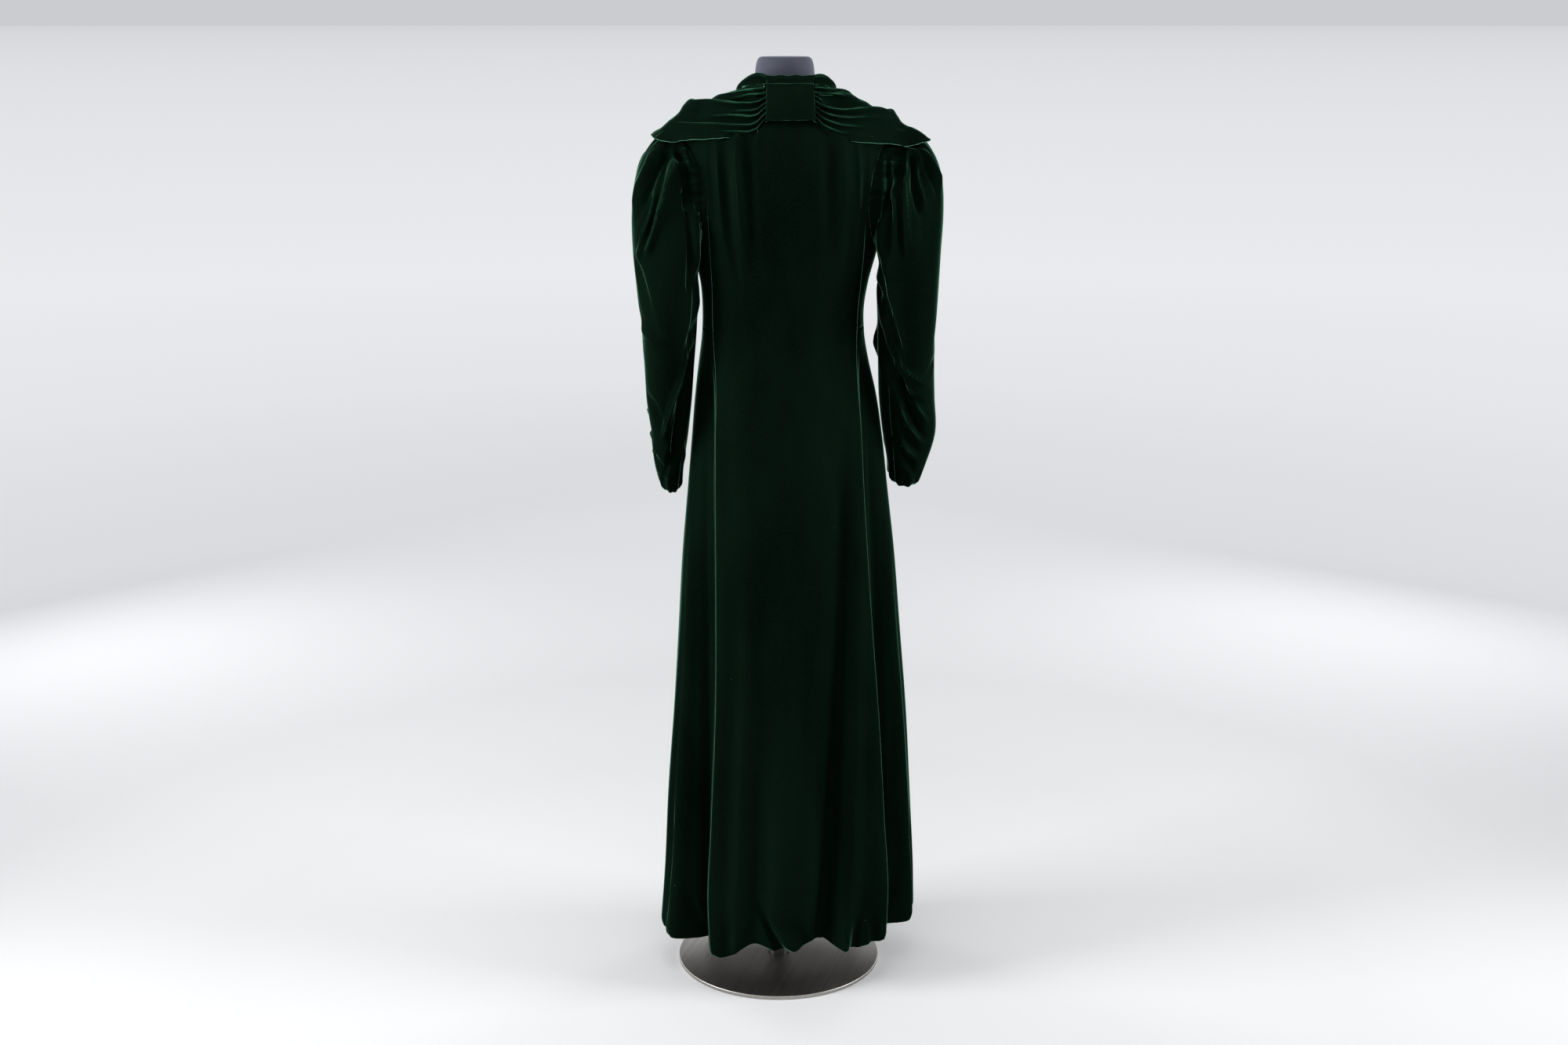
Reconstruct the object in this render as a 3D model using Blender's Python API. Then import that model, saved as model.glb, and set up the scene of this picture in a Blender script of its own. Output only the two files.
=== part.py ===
"""Full-length velvet evening coat, worn by a limbless dress form on a round steel base.

Units are metres. +Z is up, the coat's front faces -Y, and +X is the wearer's left. The origin is the
middle of the base plate's underside. Every cloth piece is a wall of velvet with its lining, cut from one
continuous surface along its seams, so that neighbours share an edge and stay a seam gap apart.
"""

import math

import bpy
import numpy as np

WALL = 0.003
SEAM_GAP = 0.0003
ARMHOLE_GAP = 0.0006
CENTRE_X = -0.010

# The coat's body: level rings from the hem to the neckline. half_width is measured from centre_x;
# back, middle and front are the ring's depths at the centre back, the sides and the centre front.
RING_COLUMNS = ("height", "centre_x", "half_width", "back", "middle", "front", "squareness")
BODY_RINGS = (
    (0.062, -0.0165, 0.2225, 0.165, 0.000, -0.165, 2.25),
    (0.170, -0.0195, 0.2165, 0.162, 0.000, -0.160, 2.25),
    (0.320, -0.0190, 0.2080, 0.157, 0.000, -0.153, 2.25),
    (0.460, -0.0195, 0.1985, 0.152, 0.000, -0.147, 2.25),
    (0.600, -0.0180, 0.1880, 0.146, 0.000, -0.141, 2.25),
    (0.740, -0.0165, 0.1775, 0.140, 0.000, -0.135, 2.25),
    (0.850, -0.0150, 0.1660, 0.135, 0.001, -0.129, 2.25),
    (0.930, -0.0140, 0.1580, 0.129, 0.002, -0.124, 2.25),
    (1.010, -0.0115, 0.1485, 0.117, 0.002, -0.116, 2.25),
    (1.060, -0.0090, 0.1400, 0.105, 0.000, -0.109, 2.25),
    (1.110, -0.0075, 0.1325, 0.095, 0.000, -0.104, 2.25),
    (1.140, -0.0075, 0.1315, 0.094, 0.000, -0.107, 2.25),
    (1.190, -0.0095, 0.1365, 0.101, 0.002, -0.119, 2.25),
    (1.240, -0.0100, 0.1490, 0.112, 0.005, -0.130, 2.30),
    (1.300, -0.0100, 0.1600, 0.120, 0.008, -0.129, 2.30),
    (1.360, -0.0100, 0.1670, 0.118, 0.012, -0.110, 2.30),
    (1.400, -0.0100, 0.1680, 0.110, 0.015, -0.085, 2.30),
    (1.428, -0.0100, 0.1620, 0.101, 0.017, -0.063, 2.25),
    (1.442, -0.0105, 0.1370, 0.094, 0.018, -0.052, 2.20),
    (1.455, -0.0115, 0.1070, 0.086, 0.018, -0.043, 2.15),
    (1.465, -0.0125, 0.0840, 0.079, 0.018, -0.038, 2.10),
    (1.473, -0.0130, 0.0700, 0.075, 0.018, -0.036, 2.10),
    (1.481, -0.0130, 0.0635, 0.073, 0.018, -0.035, 2.10),
)
HEM = 0.062
NECKLINE = 1.481
HEM_FADE_TOP = 0.30

# How far the hem is lifted, by the angle round the body from the centre back towards the wearer's left.
HEM_LIFT_COLUMNS = ("angle", "lift")
HEM_LIFT = (
    (-180, 0.006),
    (-90, 0.018),
    (-62, 0.013),
    (-42, 0.022),
    (-24, 0.014),
    (-8, 0.028),
    (4, 0.018),
    (16, 0.027),
    (30, 0.004),
    (41, 0.014),
    (62, 0.002),
    (90, 0.005),
    (180, 0.006),
)

# The back panel's seams, as distances from the centre line.
BACK_SEAM_COLUMNS = ("height", "left", "right")
BACK_SEAM = (
    (0.062, 0.139, 0.154),
    (0.155, 0.145, 0.155),
    (0.297, 0.139, 0.149),
    (0.517, 0.130, 0.137),
    (0.773, 0.125, 0.122),
    (0.939, 0.121, 0.115),
    (1.064, 0.116, 0.115),
    (1.139, 0.117, 0.119),
    (1.270, 0.125, 0.122),
    (1.420, 0.131, 0.124),
)

# Folds of the body. An angle is either from the centre back or, where at_seam is set, past the back
# seam of that side. A fold runs from top to low, changes depth on the way, and is as wide as before
# and after say on its two sides. Depths below zero are troughs.
FOLD_COLUMNS = (
    "side", "at_seam", "angle_top", "angle_low", "top", "low",
    "depth_top", "depth_low", "before", "after",
)
BODY_FOLDS = (
    ("left", True, 10, 12, 1.12, HEM, -0.006, -0.068, 13, 34),
    ("right", True, 10, 12, 1.12, HEM, -0.006, -0.068, 13, 34),
    ("left", True, -2, -1, 1.05, HEM, 0.002, 0.008, 12, 8),
    ("right", True, -2, -1, 1.05, HEM, 0.002, 0.008, 12, 8),
    ("left", False, 12, 16, 0.80, HEM, -0.002, -0.013, 12, 10),
    ("right", False, 28, 8, 0.98, HEM, -0.004, -0.017, 14, 12),
    ("left", False, 27, 24, 1.46, 1.22, 0.006, 0.002, 6, 5),
    ("left", False, 36, 33, 1.43, 1.18, -0.006, -0.003, 7, 8),
    ("left", False, 14, 16, 1.46, 1.30, 0.003, 0.001, 7, 7),
    ("right", False, 30, 36, 1.46, 1.24, 0.006, 0.002, 6, 6),
    ("right", False, 20, 22, 1.44, 1.18, -0.005, -0.002, 8, 8),
    ("right", False, 9, 11, 1.46, 1.28, 0.004, 0.001, 7, 7),
    ("left", False, 108, 106, 1.00, HEM, -0.003, -0.030, 15, 13),
    ("right", False, 108, 106, 1.00, HEM, -0.003, -0.030, 15, 13),
    ("left", False, 134, 132, 1.06, HEM, -0.003, -0.024, 14, 14),
    ("right", False, 132, 134, 1.06, HEM, -0.003, -0.026, 14, 14),
    ("left", False, 158, 157, 0.90, HEM, -0.002, -0.014, 12, 12),
    ("right", False, 159, 157, 0.94, HEM, -0.002, -0.016, 12, 12),
)
FOLD_FADE = 0.10

# The armhole is an ellipse in angle and height, round the side of the body.
ARMHOLE_MIDDLE = 1.334
ARMHOLE_HALF_HEIGHT = 0.096
ARMHOLE_HALF_ANGLE = 42.0
SLEEVE_STEP = 15
SIDE_BACK_TOP = 1.3092
WAIST = 1.118

# The front edges stand a little apart down to the hem, and open into a V above its foot.
FRONT_EDGE = 0.0003
V_FOOT = 1.335
V_TOP_WIDTH = 0.058

LOW_HEIGHTS = (
    0.062, 0.100, 0.160, 0.260, 0.390, 0.530, 0.670, 0.800, 0.900, 0.980, 1.050, 1.118, 1.160, 1.200,
)
TOP_HEIGHTS = (1.443, 1.457, 1.470, 1.481)
BACK_COLUMNS = 16
SIDE_BACK_COLUMNS = 9
FRONT_COLUMNS = 10

# Sleeve rings below the armhole: the underarm point, the outer point, then the ring's middle and its
# reach to the back and front, how far the fullness at the back tucks in towards the body, and how far
# the arm bends forward. Distances across are from the coat's centre line.
SLEEVE_COLUMNS = (
    "in_x", "in_z", "out_x", "out_z", "middle", "back", "front", "tuck", "bend",
)
LEFT_SLEEVE = (
    (0.156, 1.236, 0.187, 1.430, 0.012, 0.074, 0.066, 0.022, 0),
    (0.155, 1.231, 0.209, 1.416, 0.014, 0.081, 0.070, 0.026, 0),
    (0.153, 1.224, 0.229, 1.388, 0.016, 0.084, 0.070, 0.028, 0),
    (0.150, 1.214, 0.241, 1.350, 0.018, 0.083, 0.068, 0.026, 0),
    (0.145, 1.198, 0.246, 1.300, 0.020, 0.079, 0.065, 0.018, 0),
    (0.142, 1.174, 0.245, 1.242, 0.022, 0.073, 0.062, 0.010, 0),
    (0.142, 1.142, 0.240, 1.184, 0.025, 0.068, 0.058, 0.004, 0),
    (0.145, 1.102, 0.235, 1.126, 0.027, 0.063, 0.054, 0.000, 4),
    (0.149, 1.056, 0.230, 1.066, 0.026, 0.057, 0.049, 0.000, 9),
    (0.153, 1.000, 0.227, 1.003, 0.017, 0.050, 0.044, 0.000, 15),
    (0.159, 0.942, 0.221, 0.942, 0.001, 0.043, 0.039, 0.000, 19),
    (0.166, 0.888, 0.215, 0.886, -0.018, 0.037, 0.034, 0.000, 21),
    (0.170, 0.848, 0.205, 0.848, -0.032, 0.032, 0.030, 0.000, 21),
)
RIGHT_SLEEVE = (
    (0.157, 1.236, 0.194, 1.430, 0.012, 0.074, 0.066, 0.022, 0),
    (0.156, 1.231, 0.223, 1.416, 0.014, 0.081, 0.070, 0.026, 0),
    (0.154, 1.224, 0.243, 1.388, 0.016, 0.084, 0.070, 0.026, 0),
    (0.152, 1.214, 0.253, 1.350, 0.018, 0.083, 0.068, 0.022, 0),
    (0.149, 1.198, 0.255, 1.300, 0.020, 0.079, 0.065, 0.016, 0),
    (0.149, 1.174, 0.252, 1.242, 0.022, 0.073, 0.062, 0.008, 0),
    (0.150, 1.142, 0.249, 1.184, 0.025, 0.068, 0.058, 0.003, 0),
    (0.151, 1.102, 0.246, 1.126, 0.027, 0.063, 0.054, 0.000, 4),
    (0.152, 1.056, 0.244, 1.066, 0.026, 0.057, 0.049, 0.000, 9),
    (0.155, 1.000, 0.247, 1.003, 0.017, 0.050, 0.044, 0.000, 15),
    (0.163, 0.942, 0.252, 0.942, 0.001, 0.044, 0.040, 0.000, 19),
    (0.173, 0.892, 0.241, 0.888, -0.018, 0.038, 0.035, 0.000, 21),
    (0.178, 0.855, 0.229, 0.851, -0.031, 0.033, 0.031, 0.000, 21),
)

# Folds of the sleeves. The angle goes round the ring from its outer point over the back; start and end
# are shares of the sleeve's length.
SLEEVE_FOLD_COLUMNS = ("angle_start", "angle_end", "start", "end", "depth", "width")
LEFT_SLEEVE_FOLDS = (
    (44, 48, 0.00, 0.40, -0.010, 17),
    (62, 66, 0.00, 0.38, 0.006, 14),
    (88, 92, 0.00, 0.34, -0.006, 17),
    (-44, -52, 0.00, 0.36, -0.009, 18),
    (-84, -88, 0.00, 0.30, -0.006, 18),
    (18, 62, 0.44, 0.64, -0.007, 22),
    (162, 92, 0.54, 0.94, -0.012, 28),
    (-40, 20, 0.50, 0.68, -0.006, 24),
    (-30, 40, 0.74, 0.93, -0.005, 22),
    (100, 40, 0.84, 1.00, -0.004, 18),
)
RIGHT_SLEEVE_FOLDS = (
    (48, 22, 0.00, 0.18, -0.007, 15),
    (64, 52, 0.02, 0.28, -0.011, 16),
    (82, 84, 0.00, 0.44, 0.006, 15),
    (102, 106, 0.00, 0.40, -0.005, 17),
    (-44, -52, 0.00, 0.36, -0.009, 18),
    (-84, -88, 0.00, 0.30, -0.006, 18),
    (182, 100, 0.38, 0.72, -0.010, 26),
    (150, 66, 0.56, 0.86, -0.011, 22),
    (140, 50, 0.82, 0.98, -0.006, 20),
    (-40, 20, 0.50, 0.68, -0.006, 24),
    (-50, 6, 0.72, 0.92, -0.005, 22),
)
# Gathers of the sleeve heads: one for every GATHER_STEP degrees over the top of the armhole.
GATHER_STEP = 20
GATHER_REACH = 90
GATHER_DEPTH = 0.0026
GATHER_RUN = 0.24
SLEEVE_ROWS = 20
BACK_SLEEVE_SEAM = 135
FRONT_SLEEVE_SEAM = 225

# The collar. Its foot runs along the neckline from FOOT_START degrees off the centre back to the neck
# point, then down the V to FOOT_END. Each station gives where the roll and the outer edge lie, and how
# far the fall swells between them. Down the V the roll stands over the edge instead.
FOOT_START = 31
FOOT_END = 1.346
CORNER_STATION = 7
COLLAR_X = -0.013
STATION_COLUMNS = ("roll_x", "roll_y", "roll_z", "edge_x", "edge_y", "edge_z", "swell")
LEFT_COLLAR = (
    (0.036, 0.083, 1.519, 0.036, 0.099, 1.452, 0.003),
    (0.047, 0.077, 1.523, 0.059, 0.105, 1.429, 0.005),
    (0.058, 0.064, 1.521, 0.095, 0.103, 1.428, 0.007),
    (0.067, 0.046, 1.515, 0.135, 0.092, 1.427, 0.009),
    (0.073, 0.028, 1.509, 0.178, 0.070, 1.422, 0.012),
    (0.077, 0.012, 1.503, 0.205, 0.046, 1.419, 0.016),
    (0.078, -0.006, 1.497, 0.215, 0.014, 1.425, 0.018),
    (0.076, -0.022, 1.489, 0.206, -0.030, 1.412, 0.018),
    (0.072, -0.040, 1.476, 0.177, -0.075, 1.385, 0.015),
    (0.060, -0.060, 1.452, 0.142, -0.110, 1.350, 0.011),
    (0.045, -0.085, 1.415, 0.110, -0.134, 1.322, 0.008),
    (0.030, -0.112, 1.374, 0.080, -0.146, 1.302, 0.006),
    (0.015, -0.136, 1.340, 0.052, -0.150, 1.296, 0.004),
)
RIGHT_COLLAR = (
    (0.036, 0.083, 1.519, 0.036, 0.099, 1.452, 0.003),
    (0.047, 0.077, 1.521, 0.054, 0.104, 1.435, 0.005),
    (0.058, 0.064, 1.519, 0.090, 0.103, 1.422, 0.007),
    (0.067, 0.046, 1.513, 0.140, 0.090, 1.419, 0.009),
    (0.073, 0.028, 1.508, 0.182, 0.070, 1.414, 0.011),
    (0.077, 0.012, 1.502, 0.208, 0.048, 1.409, 0.013),
    (0.078, -0.006, 1.497, 0.226, 0.014, 1.412, 0.015),
    (0.076, -0.022, 1.489, 0.212, -0.030, 1.404, 0.016),
    (0.072, -0.040, 1.476, 0.180, -0.075, 1.380, 0.014),
    (0.060, -0.060, 1.452, 0.144, -0.110, 1.347, 0.011),
    (0.045, -0.085, 1.415, 0.110, -0.134, 1.320, 0.008),
    (0.030, -0.112, 1.374, 0.080, -0.146, 1.302, 0.006),
    (0.015, -0.136, 1.340, 0.052, -0.150, 1.296, 0.004),
)
ROLL_RADIUS = 0.0062
V_ROLL_RISE = 0.0110
DRAPE_GAP = 0.0050
ROLL_GAP = 0.0015
CORNER_CLEARANCE = 0.0022
COLLAR_SEAM_GAP = 0.0007
STAND_LEVELS = (0, 0.6, 1)
ROLL_TURNS = (45, 90, 135, 180)
STAND_SHARE = 0.10
ROLL_SHARE = 0.16
# The ruching where a wing joins the centre piece: ridges across the fall, their height at the seam,
# and the share of the wing over which they run out.
RUCHE_RIDGES = 7
RUCHE_DEPTH = 0.0034
RUCHE_RUN = 0.42
# Larger soft folds along each wing: the share of the way from the roll to the edge, where the fold
# starts and ends along the wing, its depth and its width across.
WING_FOLD_COLUMNS = ("across_start", "across_end", "start", "end", "depth", "width")
LEFT_WING_FOLDS = (
    (0.30, 0.34, 0.08, 0.62, -0.010, 0.13),
    (0.48, 0.52, 0.18, 0.70, 0.007, 0.16),
    (0.78, 0.72, 0.05, 0.40, -0.005, 0.12),
    (0.55, 0.45, 0.60, 0.98, -0.005, 0.16),
)
RIGHT_WING_FOLDS = (
    (0.34, 0.42, 0.06, 0.56, -0.010, 0.12),
    (0.56, 0.58, 0.15, 0.70, 0.006, 0.16),
    (0.18, 0.20, 0.10, 0.45, 0.005, 0.10),
    (0.55, 0.45, 0.60, 0.98, -0.005, 0.16),
)
WING_BACK_COLUMNS = 10
WING_V_COLUMNS = 6
WING_FALL_ROWS = 14
CENTRE_COLUMNS = 4

# The dress form: the body under the coat, down to the hips, then the neck above the neckline.
FORM_FLOOR = 0.80
FORM_CLEARANCE = 0.0060
FORM_HIP_CLEARANCE = 0.034
SHOULDER_CLEARANCE = 0.0010
FORM_COLUMNS = 24
FORM_HEIGHTS = (
    0.800, 0.818, 0.880, 0.960, 1.030, 1.085, 1.130, 1.180, 1.240, 1.300, 1.360, 1.400, 1.424, 1.437,
    1.448, 1.457, 1.464, 1.470, 1.476,
)
NECK_COLUMNS = ("height", "half_width", "half_depth", "middle")
FORM_NECK = (
    (1.490, 0.0520, 0.0500, 0.016),
    (1.510, 0.0480, 0.0500, 0.014),
    (1.528, 0.0465, 0.0500, 0.012),
    (1.540, 0.0440, 0.0475, 0.012),
    (1.5465, 0.0395, 0.0430, 0.012),
)

BASE_RADIUS = 0.1755
BASE_THICKNESS = 0.006
BASE_BEVEL = 0.0008
POLE_RADIUS = 0.0125
SOCKET_RADIUS = 0.019
SOCKET_HEIGHT = 0.026
RING_RADIUS = 0.0255
RING_WIRE = 0.0022
RING_HEIGHT = 0.054

VELVET = ("velvet", (0.008, 0.045, 0.022), 0.85, 0.0)
FORM_CLOTH = ("form_cloth", (0.040, 0.043, 0.060), 0.80, 0.0)
STEEL = ("brushed_steel", (0.42, 0.40, 0.38), 0.35, 1.0)
BLACK = ("black_metal", (0.015, 0.015, 0.015), 0.45, 1.0)


def column(table, columns, name):
    """One named column of a table, as an array."""
    return np.array([row[columns.index(name)] for row in table], float)


def smooth(at, xs, ys):
    """A smooth curve through the points (xs, ys), flat beyond its ends. ys may be points."""
    xs = np.asarray(xs, float)
    ys = np.asarray(ys, float)
    slope = np.gradient(ys, xs, axis=0)
    at = np.clip(np.asarray(at, float), xs[0], xs[-1])
    i = np.clip(np.searchsorted(xs, at, side="right") - 1, 0, len(xs) - 2)
    width = xs[i + 1] - xs[i]
    t = (at - xs[i]) / width
    spread = t.shape + (1,) * (ys.ndim - 1)
    t, width = t.reshape(spread), width.reshape(spread)
    h = t * t * (3 - 2 * t)
    return (
        ys[i] * (1 - h) + ys[i + 1] * h
        + slope[i] * width * t * (1 - t) ** 2
        - slope[i + 1] * width * t * t * (1 - t)
    )


def along_curves(at, xs, curves):
    """One point on each of many smooth curves: curves holds a row of points for every value in xs."""
    xs = np.asarray(xs, float)
    slope = np.gradient(curves, xs, axis=0)
    at = np.clip(np.asarray(at, float), xs[0], xs[-1])
    i = np.clip(np.searchsorted(xs, at, side="right") - 1, 0, len(xs) - 2)
    width = (xs[i + 1] - xs[i])[..., None]
    t = (at - xs[i])[..., None] / width
    here = tuple(np.indices(at.shape))
    start, end = curves[(i,) + here], curves[(i + 1,) + here]
    h = t * t * (3 - 2 * t)
    return (
        start * (1 - h) + end * h + slope[(i,) + here] * width * t * (1 - t) ** 2
        - slope[(i + 1,) + here] * width * t * t * (1 - t)
    )


def along_chords(at, xs, points):
    """Points on the straight chords between points given at xs."""
    return np.stack([np.interp(at, xs, points[:, k]) for k in range(3)], -1)


def ramp(at, start, end):
    """0 at start and 1 at end, rounded at both."""
    t = np.clip((at - start) / (end - start), 0, 1)
    return t * t * (3 - 2 * t)


def bump(offset, before, after):
    """1 in the middle, 0 at -before and +after, rounded."""
    reach = np.where(offset < 0, before, after)
    return np.cos(np.clip(offset / reach, -1, 1) * math.pi / 2) ** 2


def unit(vectors):
    return vectors / np.maximum(np.linalg.norm(vectors, axis=-1, keepdims=True), 1e-12)


def normals(surface, a, b, step_a, step_b):
    """Unit normals of a surface of two parameters, from its own slopes."""
    along = surface(a + step_a, b) - surface(a - step_a, b)
    across = surface(a, b + step_b) - surface(a, b - step_b)
    return unit(np.cross(along, across))


def grid_normals(points):
    """Unit normals of a grid of points, from its neighbours."""
    return unit(np.cross(np.gradient(points, axis=0), np.gradient(points, axis=1)))


def ring_value(name, height):
    return smooth(
        height, column(BODY_RINGS, RING_COLUMNS, "height"), column(BODY_RINGS, RING_COLUMNS, name)
    )


def bare_body(angle, height):
    """The body's surface before its folds: rounded rectangles, one for each height."""
    turn = np.radians(angle)
    power = 2 / ring_value("squareness", height)
    middle = ring_value("middle", height)
    depth = np.where(np.cos(turn) > 0, ring_value("back", height), ring_value("front", height))
    x = np.sign(np.sin(turn)) * np.abs(np.sin(turn)) ** power * ring_value("half_width", height)
    y = middle + np.abs(np.cos(turn)) ** power * (depth - middle)
    lift = smooth(
        angle, column(HEM_LIFT, HEM_LIFT_COLUMNS, "angle"), column(HEM_LIFT, HEM_LIFT_COLUMNS, "lift")
    )
    z = height + lift * (1 - ramp(height, HEM, HEM_FADE_TOP))
    return np.stack(np.broadcast_arrays(x + ring_value("centre_x", height), y, z), -1)


def angle_of(distance, height):
    """The angle at which the body's ring is that far from its centre line."""
    share = np.clip(distance / ring_value("half_width", height), 0, 1)
    return np.degrees(np.arcsin(share ** (ring_value("squareness", height) / 2)))


def back_seam_angle(side, height):
    distance = smooth(
        height, column(BACK_SEAM, BACK_SEAM_COLUMNS, "height"), column(BACK_SEAM, BACK_SEAM_COLUMNS, side)
    )
    return angle_of(distance, height)


def body_fold_depth(angle, height):
    """All the body's folds, added up."""
    total = np.zeros(np.broadcast(angle, height).shape)
    for side, at_seam, angle_top, angle_low, top, low, depth_top, depth_low, before, after in BODY_FOLDS:
        sign = 1 if side == "left" else -1
        share = np.clip((top - height) / (top - low), 0, 1)
        middle = angle_top + (angle_low - angle_top) * share
        if at_seam:
            middle = middle + back_seam_angle(side, height)
        depth = (depth_top + (depth_low - depth_top) * share) * ramp(height, top, top - FOLD_FADE)
        if low > HEM:
            depth = depth * ramp(height, low, low + FOLD_FADE)
        total = total + depth * bump(sign * angle - middle, before, after)
    return total


def body(angle, height):
    """The coat's outer surface: the bare body, moved out or in along its normal by the folds."""
    out = normals(bare_body, angle, height, -0.4, 0.002)
    return bare_body(angle, height) + out * body_fold_depth(angle, height)[..., None]


def body_normals(angle, height):
    return normals(body, angle, height, -0.4, 0.002)


def armhole_angle(height):
    """Half the angle that the armhole takes out at a height."""
    share = np.clip((height - ARMHOLE_MIDDLE) / ARMHOLE_HALF_HEIGHT, -1, 1)
    return ARMHOLE_HALF_ANGLE * np.sqrt(1 - share**2)


def front_edge_angle(height):
    """The front edge: beside the centre line, then up the V to the neck point."""
    rise = np.clip((height - V_FOOT) / (NECKLINE - V_FOOT), 0, 1)
    return 180 - angle_of(FRONT_EDGE + (V_TOP_WIDTH - FRONT_EDGE) * rise, height)


def armhole_heights():
    """Heights of the armhole's points, from its foot to its head."""
    turn = np.radians(np.arange(180, -1, -SLEEVE_STEP))
    return tuple(np.round(ARMHOLE_MIDDLE + ARMHOLE_HALF_HEIGHT * np.cos(turn), 6))


def body_heights(low, high):
    every = LOW_HEIGHTS + armhole_heights() + TOP_HEIGHTS
    return np.array([height for height in every if low - 1e-5 <= height <= high + 1e-5])


def body_frame(angle, height):
    """Points of the coat's surface with their normals and their directions round and up it."""
    points = body(angle, height)
    out = body_normals(angle, height)
    round_way = body(angle + 0.3, height) - body(angle - 0.3, height)
    round_way = unit(round_way - out * (round_way * out).sum(-1, keepdims=True))
    return points, out, round_way, unit(np.cross(round_way, out))


def wall(name, outer, out, material, thickness=WALL):
    """A closed wall: the outer points, the same moved in along the normals, and a rim round both."""
    rows, columns = outer.shape[:2]
    inner = outer - out * thickness
    points = np.concatenate([outer.reshape(-1, 3), inner.reshape(-1, 3)])
    index = np.arange(rows * columns).reshape(rows, columns)
    a, b, c, d = index[:-1, :-1], index[:-1, 1:], index[1:, 1:], index[1:, :-1]
    front = np.concatenate([np.stack([a, b, c], -1).reshape(-1, 3), np.stack([a, c, d], -1).reshape(-1, 3)])
    far = rows * columns
    rim = []
    for edge, after in ((index[0, :-1], index[0, 1:]), (index[:-1, -1], index[1:, -1])):
        rim.append(np.stack([edge, edge + far, after + far], -1))
        rim.append(np.stack([edge, after + far, after], -1))
    for edge, after in ((index[-1, 1:], index[-1, :-1]), (index[1:, 0], index[:-1, 0])):
        rim.append(np.stack([edge, edge + far, after], -1))
        rim.append(np.stack([edge + far, after + far, after], -1))
    rim = np.concatenate(rim)
    return solid(name, points, np.concatenate([front, front[:, ::-1] + far, rim]), material)


def solid(name, points, faces, material):
    """One object from points and faces, turned right way out."""
    mesh = bpy.data.meshes.new(name)
    mesh.from_pydata(np.asarray(points).tolist(), [], np.asarray(faces).tolist())
    corners = np.asarray(points)[np.asarray(faces)[:, :3]]
    if np.linalg.det(corners).sum() < 0:
        mesh.flip_normals()
    mesh.materials.append(material)
    mesh.shade_smooth()
    mesh.set_sharp_from_angle(angle=math.radians(40))
    made = bpy.data.objects.new(name, mesh)
    bpy.context.scene.collection.objects.link(made)
    return made


def body_panel(name, first, last, low, high, columns, material, trims):
    """A panel between two edges. Each edge that is a seam is drawn in by half the seam gap."""
    heights = body_heights(low, high)
    share = np.linspace(0, 1, columns + 1)
    left, right = first(heights)[:, None], last(heights)[:, None]
    angles = left + (right - left) * share
    points, out, round_way, up = body_frame(angles, np.repeat(heights[:, None], columns + 1, 1))
    sense = np.sign(right - left).mean()
    half = SEAM_GAP / 2
    first_free = 0 if low == HEM else 1
    out[first_free:-1, 1:-1] = (grid_normals(points) * sense)[first_free:-1, 1:-1]
    foot = {"seam": NECKLINE, "back": SIDE_BACK_TOP, "armhole": armhole_heights()[0], "edge": 0}
    for column, inward, trim in ((0, sense, trims[0]), (-1, -sense, trims[1])):
        above = trim in ("back", "armhole") and high > SIDE_BACK_TOP
        rows = (heights <= foot[trim] + 1e-5) | (above & (heights >= armhole_heights()[-1] - 1e-5))
        kept = 1 - share if column == 0 else share
        points += round_way[:, column, None] * (inward * half * rows)[:, None, None] * kept[None, :, None]
    if low > HEM:
        points[0] += up[0] * half
    if high < SIDE_BACK_TOP:
        points[-1] -= up[-1] * half
    return wall(name, points, out, material)


def back_edge(side, height):
    """The back panel's edge: its seam up to the armhole, then the armhole, then the shoulder seam."""
    hole = 90 - armhole_angle(height)
    seam = np.minimum(back_seam_angle(side, height), hole - 0.4)
    return np.where(height < SIDE_BACK_TOP + 1e-5, seam, hole)


def make_body(velvet):
    body_panel(
        "back_panel", lambda h: -back_edge("right", h), lambda h: back_edge("left", h),
        HEM, NECKLINE, BACK_COLUMNS, velvet, ("back", "back"),
    )
    for side, sign in (("left", 1), ("right", -1)):
        edges = (
            lambda h, side=side, sign=sign: sign * back_edge(side, h),
            lambda h, sign=sign: sign * (90 - armhole_angle(h)),
        )
        body_panel(
            "side_skirt_" + side, *edges, HEM, WAIST, SIDE_BACK_COLUMNS, velvet, ("seam", "seam"),
        )
        body_panel(
            "side_bodice_" + side, *edges, WAIST, SIDE_BACK_TOP, SIDE_BACK_COLUMNS, velvet,
            ("seam", "armhole"),
        )
        body_panel(
            "front_" + side, lambda h, sign=sign: sign * (90 + armhole_angle(h)),
            lambda h, sign=sign: sign * front_edge_angle(h), HEM, NECKLINE, FRONT_COLUMNS, velvet,
            ("armhole", "edge"),
        )


def armhole_frame(side, angle):
    """The armhole's points with their normals and the way into the hole, on the wearer's left."""
    sign = 1 if side == "left" else -1
    turn = np.radians(angle)
    at = 90 - ARMHOLE_HALF_ANGLE * np.sin(turn)
    height = ARMHOLE_MIDDLE + ARMHOLE_HALF_HEIGHT * np.cos(turn)
    points, out, round_way, up = body_frame(sign * at, height)
    ahead = np.radians(angle + 1)
    next_at = 90 - ARMHOLE_HALF_ANGLE * np.sin(ahead)
    next_height = ARMHOLE_MIDDLE + ARMHOLE_HALF_HEIGHT * np.cos(ahead)
    after = body(sign * next_at, next_height)
    into = np.cross(after - points, out) * sign
    into = unit(into - out * (into * out).sum(-1, keepdims=True))
    points = (points - (CENTRE_X, 0, 0)) * (sign, 1, 1)
    return points, out * (sign, 1, 1), into * (sign, 1, 1)


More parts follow.
